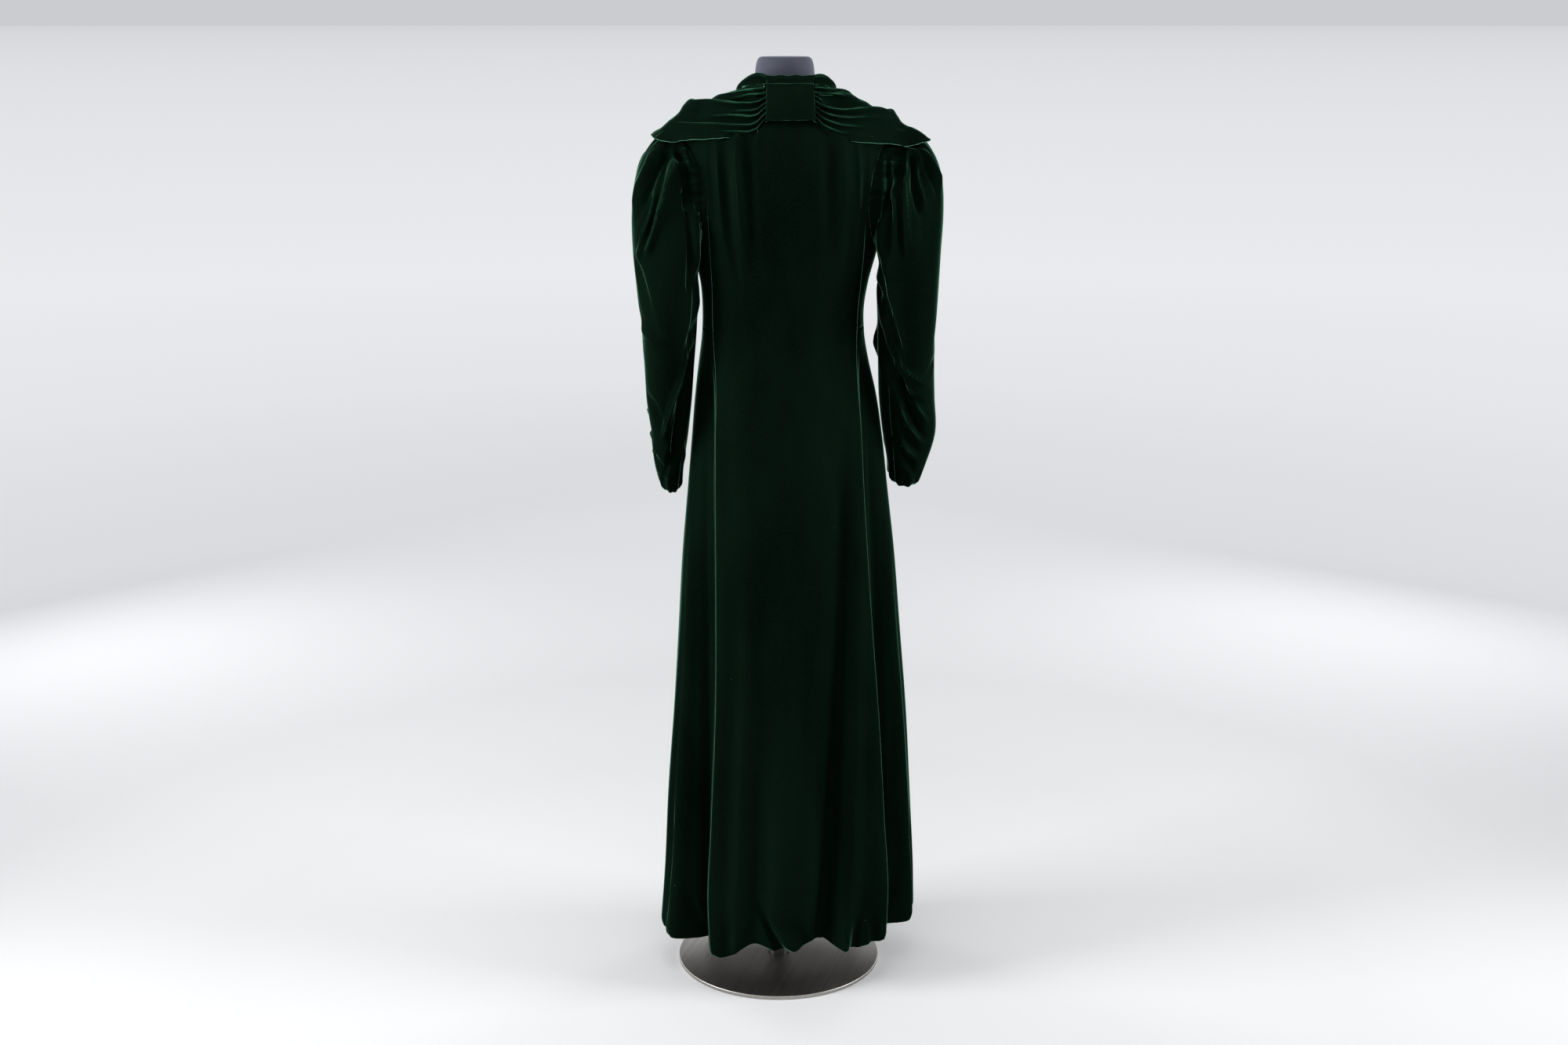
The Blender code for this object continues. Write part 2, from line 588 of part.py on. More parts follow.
def sleeve_surface(side, gathered=True):
    """The sleeve's surface, of the angle round it and the share of its length."""
    sign = 1 if side == "left" else -1
    table = LEFT_SLEEVE if side == "left" else RIGHT_SLEEVE
    folds = LEFT_SLEEVE_FOLDS if side == "left" else RIGHT_SLEEVE_FOLDS
    shares = np.linspace(0, 1, len(table) + 1)

    def ring(row, angle):
        in_x, in_z, out_x, out_z, middle, back, front, tuck, bend = row
        turn = np.radians(angle)
        lean = math.radians(bend)
        reach = np.where(np.sin(turn) > 0, back, front) * np.sin(turn)
        x = (in_x + out_x) / 2 + (out_x - in_x) / 2 * np.cos(turn)
        x = x - tuck * bump((angle + 180) % 360 - 180 - 112, 80, 62)
        z = (in_z + out_z) / 2 + (out_z - in_z) / 2 * np.cos(turn) - reach * math.sin(lean)
        return np.stack([x, middle + reach * math.cos(lean), z], -1)

    def bare(angle, share):
        angle, share = np.broadcast_arrays(np.asarray(angle, float), np.asarray(share, float))
        rings = np.stack([armhole_frame(side, angle)[0]] + [ring(row, angle) for row in table])
        return along_curves(share, shares, rings)

    def fold_depth(angle, share):
        near = (angle + 180) % 360 - 180
        opened = ramp(share, 0, 0.04) * (1 - ramp(share, 0.05, GATHER_RUN))
        opened = opened * ramp(np.abs(near), GATHER_REACH, GATHER_REACH - 20)
        wave = np.cos(2 * math.pi * near / GATHER_STEP) if gathered else 1
        total = GATHER_DEPTH * wave * opened
        for angle_start, angle_end, start, end, depth, width in folds:
            run = np.clip((share - start) / (end - start), 0, 1)
            middle = angle_start + (angle_end - angle_start) * run
            offset = (angle - middle + 180) % 360 - 180
            opened = ramp(share, start, start + 0.07) * ramp(share, end, end - 0.10)
            total = total + depth * opened * bump(offset, width, width)
        return total

    def full(angle, share):
        out = normals(bare, angle, share, -1.5, 0.01)
        points = bare(angle, share) + out * fold_depth(angle, share)[..., None]
        return points * (sign, 1, 1) + (CENTRE_X, 0, 0)

    return full, sign


def make_sleeve(side, velvet):
    """The sleeve's two pieces. Their first ring stands edge to edge with the armhole."""
    surface, sign = sleeve_surface(side)
    shares = np.linspace(0, 1, SLEEVE_ROWS + 1)[:, None]
    for name, first, last, step in (
        ("upper", FRONT_SLEEVE_SEAM - 360, BACK_SLEEVE_SEAM, GATHER_STEP / 2),
        ("under", BACK_SLEEVE_SEAM, FRONT_SLEEVE_SEAM, SLEEVE_STEP),
    ):
        angle, share = np.broadcast_arrays(np.arange(first, last + 1, step)[None, :], shares)
        outer = surface(angle, share)
        out = normals(surface, angle, share, -1.5, 0.01) * sign
        out[1:, 1:-1] = (grid_normals(outer) * sign)[1:, 1:-1]
        coarse = np.arange(first, last + 1, SLEEVE_STEP, dtype=float)
        edge, edge_out, into = armhole_frame(side, coarse)
        edge = (edge + into * ARMHOLE_GAP) * (sign, 1, 1) + (CENTRE_X, 0, 0)
        outer[0] = along_chords(angle[0], coarse, edge)
        out[0] = along_chords(angle[0], coarse, edge_out * (sign, 1, 1))
        round_way = unit(surface(angle + 0.5, share) - surface(angle - 0.5, share))
        outer[:, 0] += round_way[:, 0] * SEAM_GAP / 2
        outer[:, -1] -= round_way[:, -1] * SEAM_GAP / 2
        wall(f"sleeve_{name}_{side}", outer, out, velvet)


def collar_foot(side, along):
    """The neck edge at shares of the wing's length, with the cloth's normal and the way past the edge."""
    sign = 1 if side == "left" else -1
    corner = CORNER_STATION / (len(LEFT_COLLAR) - 1)
    corner_angle = front_edge_angle(NECKLINE)
    heights = np.interp(along, (0, corner, 1), (NECKLINE, NECKLINE, FOOT_END))
    angles = np.where(
        along <= corner, np.interp(along, (0, corner), (FOOT_START, corner_angle)), front_edge_angle(heights)
    )
    points, out, round_way, up = body_frame(sign * angles, heights)
    ahead = np.gradient(points, axis=0)
    past = np.cross(out, ahead) * -sign
    past = unit(past - out * (past * out).sum(-1, keepdims=True))
    mirror = (sign, 1, 1)
    return (points - (COLLAR_X, 0, 0)) * mirror, out * mirror, past * mirror


def collar_levels(fall_rows):
    """Shares across the collar: up the stand, over the roll and down the fall to the edge."""
    stand = np.array(STAND_LEVELS) * STAND_SHARE
    roll = STAND_SHARE + (ROLL_SHARE - STAND_SHARE) * np.array(ROLL_TURNS) / 180
    fall = ROLL_SHARE + (1 - ROLL_SHARE) * np.linspace(0, 1, fall_rows + 1)[1:]
    return np.concatenate([stand, roll, fall])


def wing_surface(side, along, across):
    """The wing before its folds: a straight stand, a half round roll and a swelling fall."""
    table = LEFT_COLLAR if side == "left" else RIGHT_COLLAR
    stations = np.arange(len(table))
    at = along * (len(table) - 1)
    value = {name: smooth(at, stations, column(table, STATION_COLUMNS, name)) for name in STATION_COLUMNS}
    foot, out, past = collar_foot(side, along)
    lapel = ramp(at, CORNER_STATION - 0.5, CORNER_STATION + 1.5)[:, None]
    under = foot - out * WALL + past * COLLAR_SEAM_GAP
    foot = under + (foot + out * COLLAR_SEAM_GAP - under) * lapel
    foot = foot + (out + past) * (4 * lapel * (1 - lapel) * CORNER_CLEARANCE)
    roll = np.stack([value["roll_x"], value["roll_y"], value["roll_z"]], -1)
    roll = roll * (1 - lapel) + (foot + out * V_ROLL_RISE - past * ROLL_RADIUS) * lapel
    edge = np.stack([value["edge_x"], value["edge_y"], value["edge_z"]], -1)
    rise = unit(roll - foot)
    away = edge - roll
    away = unit(away - rise * (away * rise).sum(-1, keepdims=True)) * (1 - lapel) - past * lapel
    away = unit(away - rise * (away * rise).sum(-1, keepdims=True))
    axis = roll - rise * ROLL_RADIUS
    fall_out = np.cross(edge - axis, np.cross(away, rise))
    fall_out = unit(fall_out * np.sign((fall_out * (rise + away)).sum(-1, keepdims=True)))
    foot, rise, away, axis, edge, fall_out = (a[:, None, :] for a in (foot, rise, away, axis, edge, fall_out))
    level = across[None, :, None]
    up = np.clip(level / STAND_SHARE, 0, 1)
    turn = np.clip((level - STAND_SHARE) / (ROLL_SHARE - STAND_SHARE), 0, 1) * math.pi
    down = np.clip((level - ROLL_SHARE) / (1 - ROLL_SHARE), 0, 1)
    stand_points = foot + (axis - away * ROLL_RADIUS - foot) * up
    roll_points = axis - away * ROLL_RADIUS * np.cos(turn) + rise * ROLL_RADIUS * np.sin(turn)
    start = axis + away * ROLL_RADIUS
    swell = value["swell"][:, None, None] * np.sin(math.pi * down ** 0.85)
    fall_points = start + (edge - start) * down + fall_out * swell
    return np.where(level < STAND_SHARE, stand_points, np.where(level < ROLL_SHARE, roll_points, fall_points))


def wing_folds(side, along, across):
    """The height of a wing's ruching and folds above its plain surface."""
    fall = np.clip((across - ROLL_SHARE) / (1 - ROLL_SHARE), 0, 1)
    ridges = np.cos(2 * math.pi * RUCHE_RIDGES * fall)
    opened = ramp(along, 0, 0.03) * (1 - ramp(along, 0.0, RUCHE_RUN)) ** 1.5
    total = RUCHE_DEPTH * ridges * opened * ramp(fall, 0.0, 0.08)
    for across_start, across_end, start, end, deep, width in (
        LEFT_WING_FOLDS if side == "left" else RIGHT_WING_FOLDS
    ):
        run = np.clip((along - start) / (end - start), 0, 1)
        middle = across_start + (across_end - across_start) * run
        opened = ramp(along, start, start + 0.15) * ramp(along, end, end - 0.20)
        total = total + deep * opened * bump(fall - middle, width, width)
    return total


def drape_cloud():
    """Points and normals of what the collar lies on: the body's shoulders and the sleeve heads."""
    angle, height = np.meshgrid(np.arange(-180, 181, 2.5), np.arange(1.20, NECKLINE, 0.005), indexing="ij")
    clouds = [(body(angle, height), body_normals(angle, height))]
    for side in ("left", "right"):
        surface, sign = sleeve_surface(side, gathered=False)
        angle, share = np.meshgrid(np.arange(-180, 180, 4.0), np.linspace(0.02, 0.4, 30), indexing="ij")
        clouds.append((surface(angle, share), normals(surface, angle, share, -1.5, 0.01) * sign))
    return tuple(np.concatenate([cloud[k].reshape(-1, 3) for cloud in clouds]) for k in (0, 1))


def resting(points, cloud, clear):
    """The points, with those nearer to the cloud's surface than clear moved out to it."""
    on, out = cloud
    flat = points.reshape(-1, 3).copy()
    clear = np.broadcast_to(clear, points.shape[:-1]).ravel()
    for _ in range(3):
        for start in range(0, len(flat), 200):
            block = flat[start:start + 200]
            near = ((block[:, None] - on[None]) ** 2).sum(-1).argmin(1)
            short = clear[start:start + 200] - ((block - on[near]) * out[near]).sum(-1)
            flat[start:start + 200] = block + out[near] * np.clip(short, 0, 0.05)[:, None]
    return flat.reshape(points.shape)


def wing_points(side, along, across, cloud):
    """A wing's outer surface with its folds, laid on the shoulders."""
    points = wing_surface(side, along, across)
    folds = wing_folds(side, along[:, None], across[None, :])
    points = points + grid_normals(points) * folds[..., None]
    sign = 1 if side == "left" else -1
    points = points * (sign, 1, 1) + (COLLAR_X, 0, 0)
    fall = across > STAND_SHARE + (ROLL_SHARE - STAND_SHARE) * 0.7
    clear = WALL + ROLL_GAP + (DRAPE_GAP - ROLL_GAP) * ramp(across[fall], ROLL_SHARE, ROLL_SHARE + 0.15)
    points[:, fall] = resting(points[:, fall], cloud, clear)
    return points


def make_collar(velvet):
    cloud = drape_cloud()
    levels = collar_levels(WING_FALL_ROWS)
    corner = CORNER_STATION / (len(LEFT_COLLAR) - 1)
    back = np.linspace(0, 1, WING_BACK_COLUMNS + 1) ** 1.25 * corner
    along = np.concatenate([back, np.linspace(corner, 1, WING_V_COLUMNS + 1)[1:]])
    seams = {}
    for side in ("left", "right"):
        sign = 1 if side == "left" else -1
        points = wing_points(side, along, levels, cloud)
        out = grid_normals(points) * sign
        foot, foot_out, past = collar_foot(side, along)
        lapel = ramp(along * (len(LEFT_COLLAR) - 1), CORNER_STATION - 0.5, CORNER_STATION + 1.5)[:, None]
        out[:, 0] = unit(past * lapel - foot_out * (1 - lapel)) * (sign, 1, 1)
        out[0, 1:] = unit(out[0, 1:] * (0, 1, 1))
        seams[side] = (points[0].copy(), out[0].copy())
        points[0] += (sign * SEAM_GAP / 2, 0, 0)
        wall("collar_wing_" + side, points, out, velvet)
    (left, left_out), (right, right_out) = seams["left"], seams["right"]
    share = np.linspace(0, 1, CENTRE_COLUMNS + 1)[:, None, None]
    points = right + (left - right) * share
    out = unit(right_out + (left_out - right_out) * share)
    nape = body(FOOT_START * (2 * share[:, 0, 0] - 1), np.full(len(share), NECKLINE))[:, 1]
    bow = nape - nape[0] - (nape[-1] - nape[0]) * share[:, 0, 0]
    kept = 1 - 0.5 * ramp(levels, 0, STAND_SHARE)
    points[..., 1] += bow[:, None] * kept[None, :]
    points[0] += (SEAM_GAP / 2, 0, 0)
    points[-1] -= (SEAM_GAP / 2, 0, 0)
    wall("collar_centre", points, out, velvet)


def make_form(cloth):
    """The dress form: closed rings from the hips to the top of the neck."""
    angles = np.linspace(-180, 180, FORM_COLUMNS + 1)[:-1]
    heights = FORM_HEIGHTS
    rings = []
    for height in heights:
        level = np.full_like(angles, height, dtype=float)
        near = bump(np.abs(angles) - 90, 12, 12) * ramp(height, 1.425, 1.437) * ramp(height, 1.460, 1.448)
        clear = WALL + FORM_CLEARANCE + (SHOULDER_CLEARANCE - FORM_CLEARANCE) * near
        clear = clear + FORM_HIP_CLEARANCE * ramp(height, 1.14, 0.86)
        out = normals(bare_body, angles, level, -0.4, 0.002)
        ring = bare_body(angles, level) - out * clear[:, None]
        if height < WAIST:
            ring[:, 2] = height
        if height == FORM_FLOOR:
            ring = ring * (0.93, 0.93, 1)
        rings.append(ring)
    turn = np.radians(angles)
    for height, half_width, half_depth, middle in FORM_NECK:
        x = CENTRE_X + half_width * np.sin(turn)
        rings.append(np.stack([x, middle + half_depth * np.cos(turn), np.full_like(turn, height)], -1))
    points = np.concatenate(rings)
    count = len(angles)
    faces = []
    for row in range(len(rings) - 1):
        for i in range(count):
            a, b = row * count + i, row * count + (i + 1) % count
            faces += [(a, b, b + count), (a, b + count, a + count)]
    faces = faces + capped(range(count), True) + capped(range(len(points) - count, len(points)), False)
    return solid("form_torso", points, faces, cloth)


def capped(ring, downward):
    """A fan over a convex ring of points."""
    ring = list(ring)
    fan = [(ring[0], ring[i], ring[i + 1]) for i in range(1, len(ring) - 1)]
    return [face[::-1] for face in fan] if downward else fan


def turned(name, profile, segments, material):
    """A round piece: (radius, height) points turned about the pole's axis, closed at both ends."""
    turn = np.linspace(0, 2 * math.pi, segments + 1)[:-1]
    points = np.concatenate([
        np.stack([radius * np.cos(turn), radius * np.sin(turn), np.full_like(turn, height)], -1)
        for radius, height in profile
    ])
    faces = []
    for row in range(len(profile) - 1):
        for i in range(segments):
            a, b = row * segments + i, row * segments + (i + 1) % segments
            faces += [(a, b, b + segments), (a, b + segments, a + segments)]
    faces = faces + capped(range(segments), True)
    faces = faces + capped(range(len(points) - segments, len(points)), False)
    return solid(name, points, faces, material)


def tube(name, inner, outer, low, high, segments, material):
    """A plain ring round the pole's axis."""
    turn = np.linspace(0, 2 * math.pi, segments + 1)[:-1]
    points = [
        (radius * math.cos(t), radius * math.sin(t), height)
        for t in turn for radius, height in ((inner, low), (outer, low), (outer, high), (inner, high))
    ]
    faces = []
    for i in range(segments):
        for k in range(4):
            a, b = i * 4 + k, i * 4 + (k + 1) % 4
            c, d = (a + 4) % (segments * 4), (b + 4) % (segments * 4)
            faces += [(a, c, d), (a, d, b)]
    return solid(name, points, faces, material)


def make_stand(steel, black):
    top = BASE_THICKNESS
    turned(
        "stand_base",
        ((BASE_RADIUS - BASE_BEVEL, 0), (BASE_RADIUS, BASE_BEVEL), (BASE_RADIUS, top - BASE_BEVEL),
         (BASE_RADIUS - BASE_BEVEL, top)),
        64, steel,
    )
    foot = top + SEAM_GAP
    turned(
        "stand_pole", ((POLE_RADIUS, foot), (POLE_RADIUS, FORM_FLOOR - SEAM_GAP)), 24, black,
    )
    around = POLE_RADIUS + SEAM_GAP
    tube("stand_socket", around, SOCKET_RADIUS, foot, foot + SOCKET_HEIGHT, 24, black)
    tube("stand_stop_ring", around, RING_RADIUS, RING_HEIGHT - RING_WIRE, RING_HEIGHT + RING_WIRE, 24, black)


def made_material(name, colour, roughness, metallic):
    material = bpy.data.materials.new(name)
    material.use_nodes = True
    shader = material.node_tree.nodes["Principled BSDF"]
    shader.inputs["Base Color"].default_value = (*colour, 1)
    shader.inputs["Roughness"].default_value = roughness
    shader.inputs["Metallic"].default_value = metallic
    return material


def main():
    for old in list(bpy.data.objects):
        bpy.data.objects.remove(old)
    velvet = made_material(*VELVET)
    make_body(velvet)
    for side in ("left", "right"):
        make_sleeve(side, velvet)
    make_collar(velvet)
    make_form(made_material(*FORM_CLOTH))
    make_stand(made_material(*STEEL), made_material(*BLACK))


main()
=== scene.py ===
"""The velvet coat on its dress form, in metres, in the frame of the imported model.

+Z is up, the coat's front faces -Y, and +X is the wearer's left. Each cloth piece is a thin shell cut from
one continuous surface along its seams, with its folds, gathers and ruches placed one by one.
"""

import math

import bpy
import mathutils
import numpy as np
from bpy.props import FloatProperty, FloatVectorProperty, IntProperty, PointerProperty
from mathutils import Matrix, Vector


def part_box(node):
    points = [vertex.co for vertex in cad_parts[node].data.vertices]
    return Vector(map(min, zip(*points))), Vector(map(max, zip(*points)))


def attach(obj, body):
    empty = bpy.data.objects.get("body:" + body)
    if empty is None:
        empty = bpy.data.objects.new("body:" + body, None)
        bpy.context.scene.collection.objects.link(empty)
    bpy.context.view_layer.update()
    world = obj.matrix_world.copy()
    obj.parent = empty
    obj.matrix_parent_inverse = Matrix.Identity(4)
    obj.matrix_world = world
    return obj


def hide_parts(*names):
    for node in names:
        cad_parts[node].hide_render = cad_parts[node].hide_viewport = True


bl_info = {
    "name": "Velvet Coat on Dress Form",
    "version": (1, 0, 0),
    "blender": (4, 5, 0),
    "location": "View3D > Sidebar > Coat",
    "description": "Builds a full-length velvet evening coat on a dress form and its stand",
    "category": "Object",
}

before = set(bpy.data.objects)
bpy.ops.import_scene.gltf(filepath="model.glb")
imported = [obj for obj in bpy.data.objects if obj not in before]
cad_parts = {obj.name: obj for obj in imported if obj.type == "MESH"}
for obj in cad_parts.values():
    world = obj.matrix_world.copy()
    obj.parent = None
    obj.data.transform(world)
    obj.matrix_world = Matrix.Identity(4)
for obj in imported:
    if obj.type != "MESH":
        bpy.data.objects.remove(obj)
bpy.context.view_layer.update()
FORM_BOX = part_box("form_torso")
BASE_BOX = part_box("stand_base")
POLE_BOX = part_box("stand_pole")
SOCKET_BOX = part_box("stand_socket")
RING_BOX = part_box("stand_stop_ring")

WALL = 0.003
SEAM_GAP = 0.0003
ARMHOLE_GAP = 0.0006
CENTRE_X = -0.010

# The coat's body: level rings from the hem to the neckline. half_width is measured from centre_x;
# back, middle and front are the ring's depths at the centre back, the sides and the centre front.
RING_COLUMNS = ("height", "centre_x", "half_width", "back", "middle", "front", "squareness")
BODY_RINGS = (
    (0.062, -0.0165, 0.2225, 0.165, 0.000, -0.165, 2.25),
    (0.170, -0.0195, 0.2165, 0.162, 0.000, -0.160, 2.25),
    (0.320, -0.0190, 0.2080, 0.157, 0.000, -0.153, 2.25),
    (0.460, -0.0195, 0.1985, 0.152, 0.000, -0.147, 2.25),
    (0.600, -0.0180, 0.1880, 0.146, 0.000, -0.141, 2.25),
    (0.740, -0.0165, 0.1775, 0.140, 0.000, -0.135, 2.25),
    (0.850, -0.0150, 0.1660, 0.135, 0.001, -0.129, 2.25),
    (0.930, -0.0140, 0.1580, 0.129, 0.002, -0.124, 2.25),
    (1.010, -0.0115, 0.1485, 0.117, 0.002, -0.116, 2.25),
    (1.060, -0.0090, 0.1400, 0.105, 0.000, -0.109, 2.25),
    (1.110, -0.0075, 0.1325, 0.095, 0.000, -0.104, 2.25),
    (1.140, -0.0075, 0.1315, 0.094, 0.000, -0.107, 2.25),
    (1.190, -0.0095, 0.1365, 0.101, 0.002, -0.119, 2.25),
    (1.240, -0.0100, 0.1490, 0.112, 0.005, -0.130, 2.30),
    (1.300, -0.0100, 0.1600, 0.120, 0.008, -0.129, 2.30),
    (1.360, -0.0100, 0.1670, 0.118, 0.012, -0.110, 2.30),
    (1.400, -0.0100, 0.1680, 0.110, 0.015, -0.085, 2.30),
    (1.428, -0.0100, 0.1620, 0.101, 0.017, -0.063, 2.25),
    (1.442, -0.0105, 0.1370, 0.094, 0.018, -0.052, 2.20),
    (1.455, -0.0115, 0.1070, 0.086, 0.018, -0.043, 2.15),
    (1.465, -0.0125, 0.0840, 0.079, 0.018, -0.038, 2.10),
    (1.473, -0.0130, 0.0700, 0.075, 0.018, -0.036, 2.10),
    (1.481, -0.0130, 0.0635, 0.073, 0.018, -0.035, 2.10),
)
HEM = 0.062
NECKLINE = 1.481
HEM_FADE_TOP = 0.30
HEM_ROLL_BELOW = 0.006
HEM_ROLL_ABOVE = 0.013

# How far the hem is lifted, by the angle round the body from the centre back towards the wearer's left.
HEM_LIFT_COLUMNS = ("angle", "lift")
HEM_LIFT = (
    (-180, 0.006), (-90, 0.018), (-62, 0.013), (-42, 0.022), (-24, 0.014), (-8, 0.028), (4, 0.018),
    (16, 0.027), (30, 0.004), (41, 0.014), (62, 0.002), (90, 0.005), (180, 0.006),
)

# The back panel's seams, as distances from the centre line.
BACK_SEAM_COLUMNS = ("height", "left", "right")
BACK_SEAM = (
    (0.062, 0.139, 0.154), (0.155, 0.145, 0.155), (0.297, 0.139, 0.149), (0.517, 0.130, 0.137),
    (0.773, 0.125, 0.122), (0.939, 0.121, 0.115), (1.064, 0.116, 0.115), (1.139, 0.117, 0.119),
    (1.270, 0.125, 0.122), (1.420, 0.131, 0.124),
)

# Folds of the body. An angle is either from the centre back or, where at_seam is set, past the back
# seam of that side. A fold runs from top to low, changes depth on the way, and is as wide as before
# and after say on its two sides. Depths below zero are troughs.
# Columns: side, at_seam, angle_top, angle_low, top, low, depth_top, depth_low, before, after.
BODY_FOLDS = (
    ("left", True, 10, 12, 1.12, HEM, -0.006, -0.068, 13, 34),
    ("right", True, 10, 12, 1.12, HEM, -0.006, -0.068, 13, 34),
    ("left", True, -2, -1, 1.05, HEM, 0.002, 0.008, 12, 8),
    ("right", True, -2, -1, 1.05, HEM, 0.002, 0.008, 12, 8),
    ("left", False, 12, 16, 0.80, HEM, -0.002, -0.013, 12, 10),
    ("right", False, 28, 8, 0.98, HEM, -0.004, -0.017, 14, 12),
    ("left", False, 27, 24, 1.46, 1.22, 0.006, 0.002, 6, 5),
    ("left", False, 36, 33, 1.43, 1.18, -0.006, -0.003, 7, 8),
    ("left", False, 14, 16, 1.46, 1.30, 0.003, 0.001, 7, 7),
    ("right", False, 30, 36, 1.46, 1.24, 0.006, 0.002, 6, 6),
    ("right", False, 20, 22, 1.44, 1.18, -0.005, -0.002, 8, 8),
    ("right", False, 9, 11, 1.46, 1.28, 0.004, 0.001, 7, 7),
    ("left", False, 108, 106, 1.00, HEM, -0.003, -0.030, 15, 13),
    ("right", False, 108, 106, 1.00, HEM, -0.003, -0.030, 15, 13),
    ("left", False, 134, 132, 1.06, HEM, -0.003, -0.024, 14, 14),
    ("right", False, 132, 134, 1.06, HEM, -0.003, -0.026, 14, 14),
    ("left", False, 158, 157, 0.90, HEM, -0.002, -0.014, 12, 12),
    ("right", False, 159, 157, 0.94, HEM, -0.002, -0.016, 12, 12),
)
# Finer folds that the solids leave out: gathers at the shoulder seams, creases over the hem, and soft
# dents where the side gores fall in.
BODY_CREASES = (
    ("left", False, 27, 24, 1.47, 1.20, 0.0080, 0.0020, 4, 4),
    ("left", False, 20, 18, 1.47, 1.18, -0.0070, -0.0020, 6, 5),
    ("left", False, 33, 31, 1.46, 1.14, -0.0060, -0.0020, 4, 6),
    ("left", False, 7, 8, 1.47, 1.33, 0.0030, 0.0008, 4, 5),
    ("left", False, 39, 38, 1.45, 1.22, 0.0050, 0.0012, 3, 3),
    ("left", False, 44, 43, 1.44, 1.26, -0.0050, -0.0010, 3, 4),
    ("left", False, 14, 13, 1.47, 1.38, 0.0026, 0.0006, 3, 3),
    ("right", False, 4, 4, 1.47, 1.34, -0.0030, -0.0008, 4, 5),
    ("right", False, 12, 13, 1.47, 1.30, 0.0036, 0.0010, 4, 4),
    ("right", False, 18, 20, 1.47, 1.24, -0.0050, -0.0014, 4, 5),
    ("right", False, 25, 30, 1.47, 1.20, 0.0070, 0.0016, 4, 4),
    ("right", False, 31, 37, 1.46, 1.18, -0.0060, -0.0016, 4, 6),
    ("right", False, 37, 41, 1.46, 1.26, 0.0056, 0.0012, 3, 3),
    ("right", False, 42, 45, 1.45, 1.20, -0.0046, -0.0010, 3, 4),
    ("right", False, 47, 50, 1.44, 1.26, 0.0036, 0.0008, 3, 3),
    ("left", False, 18, 4, 0.165, HEM, -0.0060, -0.0150, 4, 4),
    ("left", False, 13, 0, 0.150, HEM, 0.0040, 0.0080, 3, 4),
    ("left", False, 28, 27, 0.160, HEM, -0.0020, -0.0060, 4, 5),
    ("left", False, 2, -4, 0.130, HEM, -0.0030, -0.0070, 3, 4),
    ("right", False, 14, 13, 0.170, HEM, -0.0050, -0.0120, 3, 4),
    ("right", False, 20, 19, 0.150, HEM, 0.0040, 0.0090, 3, 4),
    ("right", False, 26, 24, 0.140, HEM, -0.0030, -0.0080, 3, 4),
    ("right", False, 33, 35, 0.130, HEM, -0.0030, -0.0070, 3, 4),
    ("right", False, 27, 10, 0.92, HEM, -0.0020, -0.0150, 7, 6),
    ("right", False, 36, 19, 0.90, HEM, 0.0020, 0.0080, 8, 8),
    ("right", False, 3, 4, 0.62, HEM, 0.0010, 0.0060, 7, 6),
    ("left", False, 21, 24, 0.86, HEM, 0.0010, 0.0060, 9, 8),
    ("left", True, 6, 7, 0.98, HEM, 0.0020, 0.0160, 2.5, 3.5),
    ("right", True, 7, 8, 0.94, HEM, 0.0020, 0.0120, 2.5, 3.5),
    ("left", True, 20, 20, 1.00, HEM, -0.0020, -0.0110, 6, 6),
    ("right", True, 20, 20, 1.00, HEM, -0.0020, -0.0120, 6, 6),
    ("left", True, 31, 34, 0.84, HEM, 0.0020, 0.0110, 7, 7),
    ("right", True, 31, 34, 0.80, HEM, 0.0020, 0.0110, 7, 7),
    ("left", True, 33, 22, 0.17, HEM, -0.0040, -0.0090, 4, 4),
    ("right", True, 30, 22, 0.18, HEM, -0.0050, -0.0100, 4, 4),
    ("left", False, 78, 82, 0.34, HEM, -0.0020, -0.0080, 5, 6),
    ("right", False, 80, 84, 0.30, HEM, -0.0020, -0.0090, 5, 6),
    ("left", False, 120, 119, 0.90, HEM, 0.0020, 0.0080, 7, 7),
    ("right", False, 120, 120, 0.92, HEM, 0.0020, 0.0080, 7, 7),
    ("left", False, 146, 146, 0.80, HEM, 0.0020, 0.0070, 6, 6),
    ("right", False, 146, 147, 0.76, HEM, 0.0020, 0.0070, 6, 6),
    ("left", False, 170, 168, 0.60, HEM, -0.0010, -0.0060, 5, 5),
    ("right", False, 169, 168, 0.64, HEM, -0.0010, -0.0060, 5, 5),
    ("left", False, 140, 132, 0.150, HEM, -0.0040, -0.0090, 4, 4),
    ("right", False, 128, 122, 0.150, HEM, -0.0040, -0.0090, 4, 4),
    ("left", False, 152, 156, 0.130, HEM, -0.0030, -0.0070, 4, 4),
    ("right", False, 150, 154, 0.140, HEM, -0.0030, -0.0080, 4, 4),
    ("left", False, 100, 96, 1.44, 1.22, -0.0030, -0.0010, 4, 5),
    ("right", False, 101, 97, 1.44, 1.22, -0.0030, -0.0010, 4, 5),
    ("left", False, 128, 136, 1.40, 1.16, -0.0040, -0.0020, 6, 7),
    ("right", False, 128, 136, 1.40, 1.16, -0.0040, -0.0020, 6, 7),
)
FOLD_FADE = 0.10
# Slow waves of the hanging cloth: each one's depth, its turns round the body, its turn for each metre of
# height and its phase. They are full at the lower height and WAVE_SHARE of that at the upper one.
DRAPE_WAVES = ((0.0012, 5.0, 3.1, 0.6), (0.0009, 9.0, -5.3, 2.1), (0.0005, 17.0, 9.7, 4.0))
WAVE_HEIGHTS = (1.05, 0.35)
WAVE_SHARE = 0.35

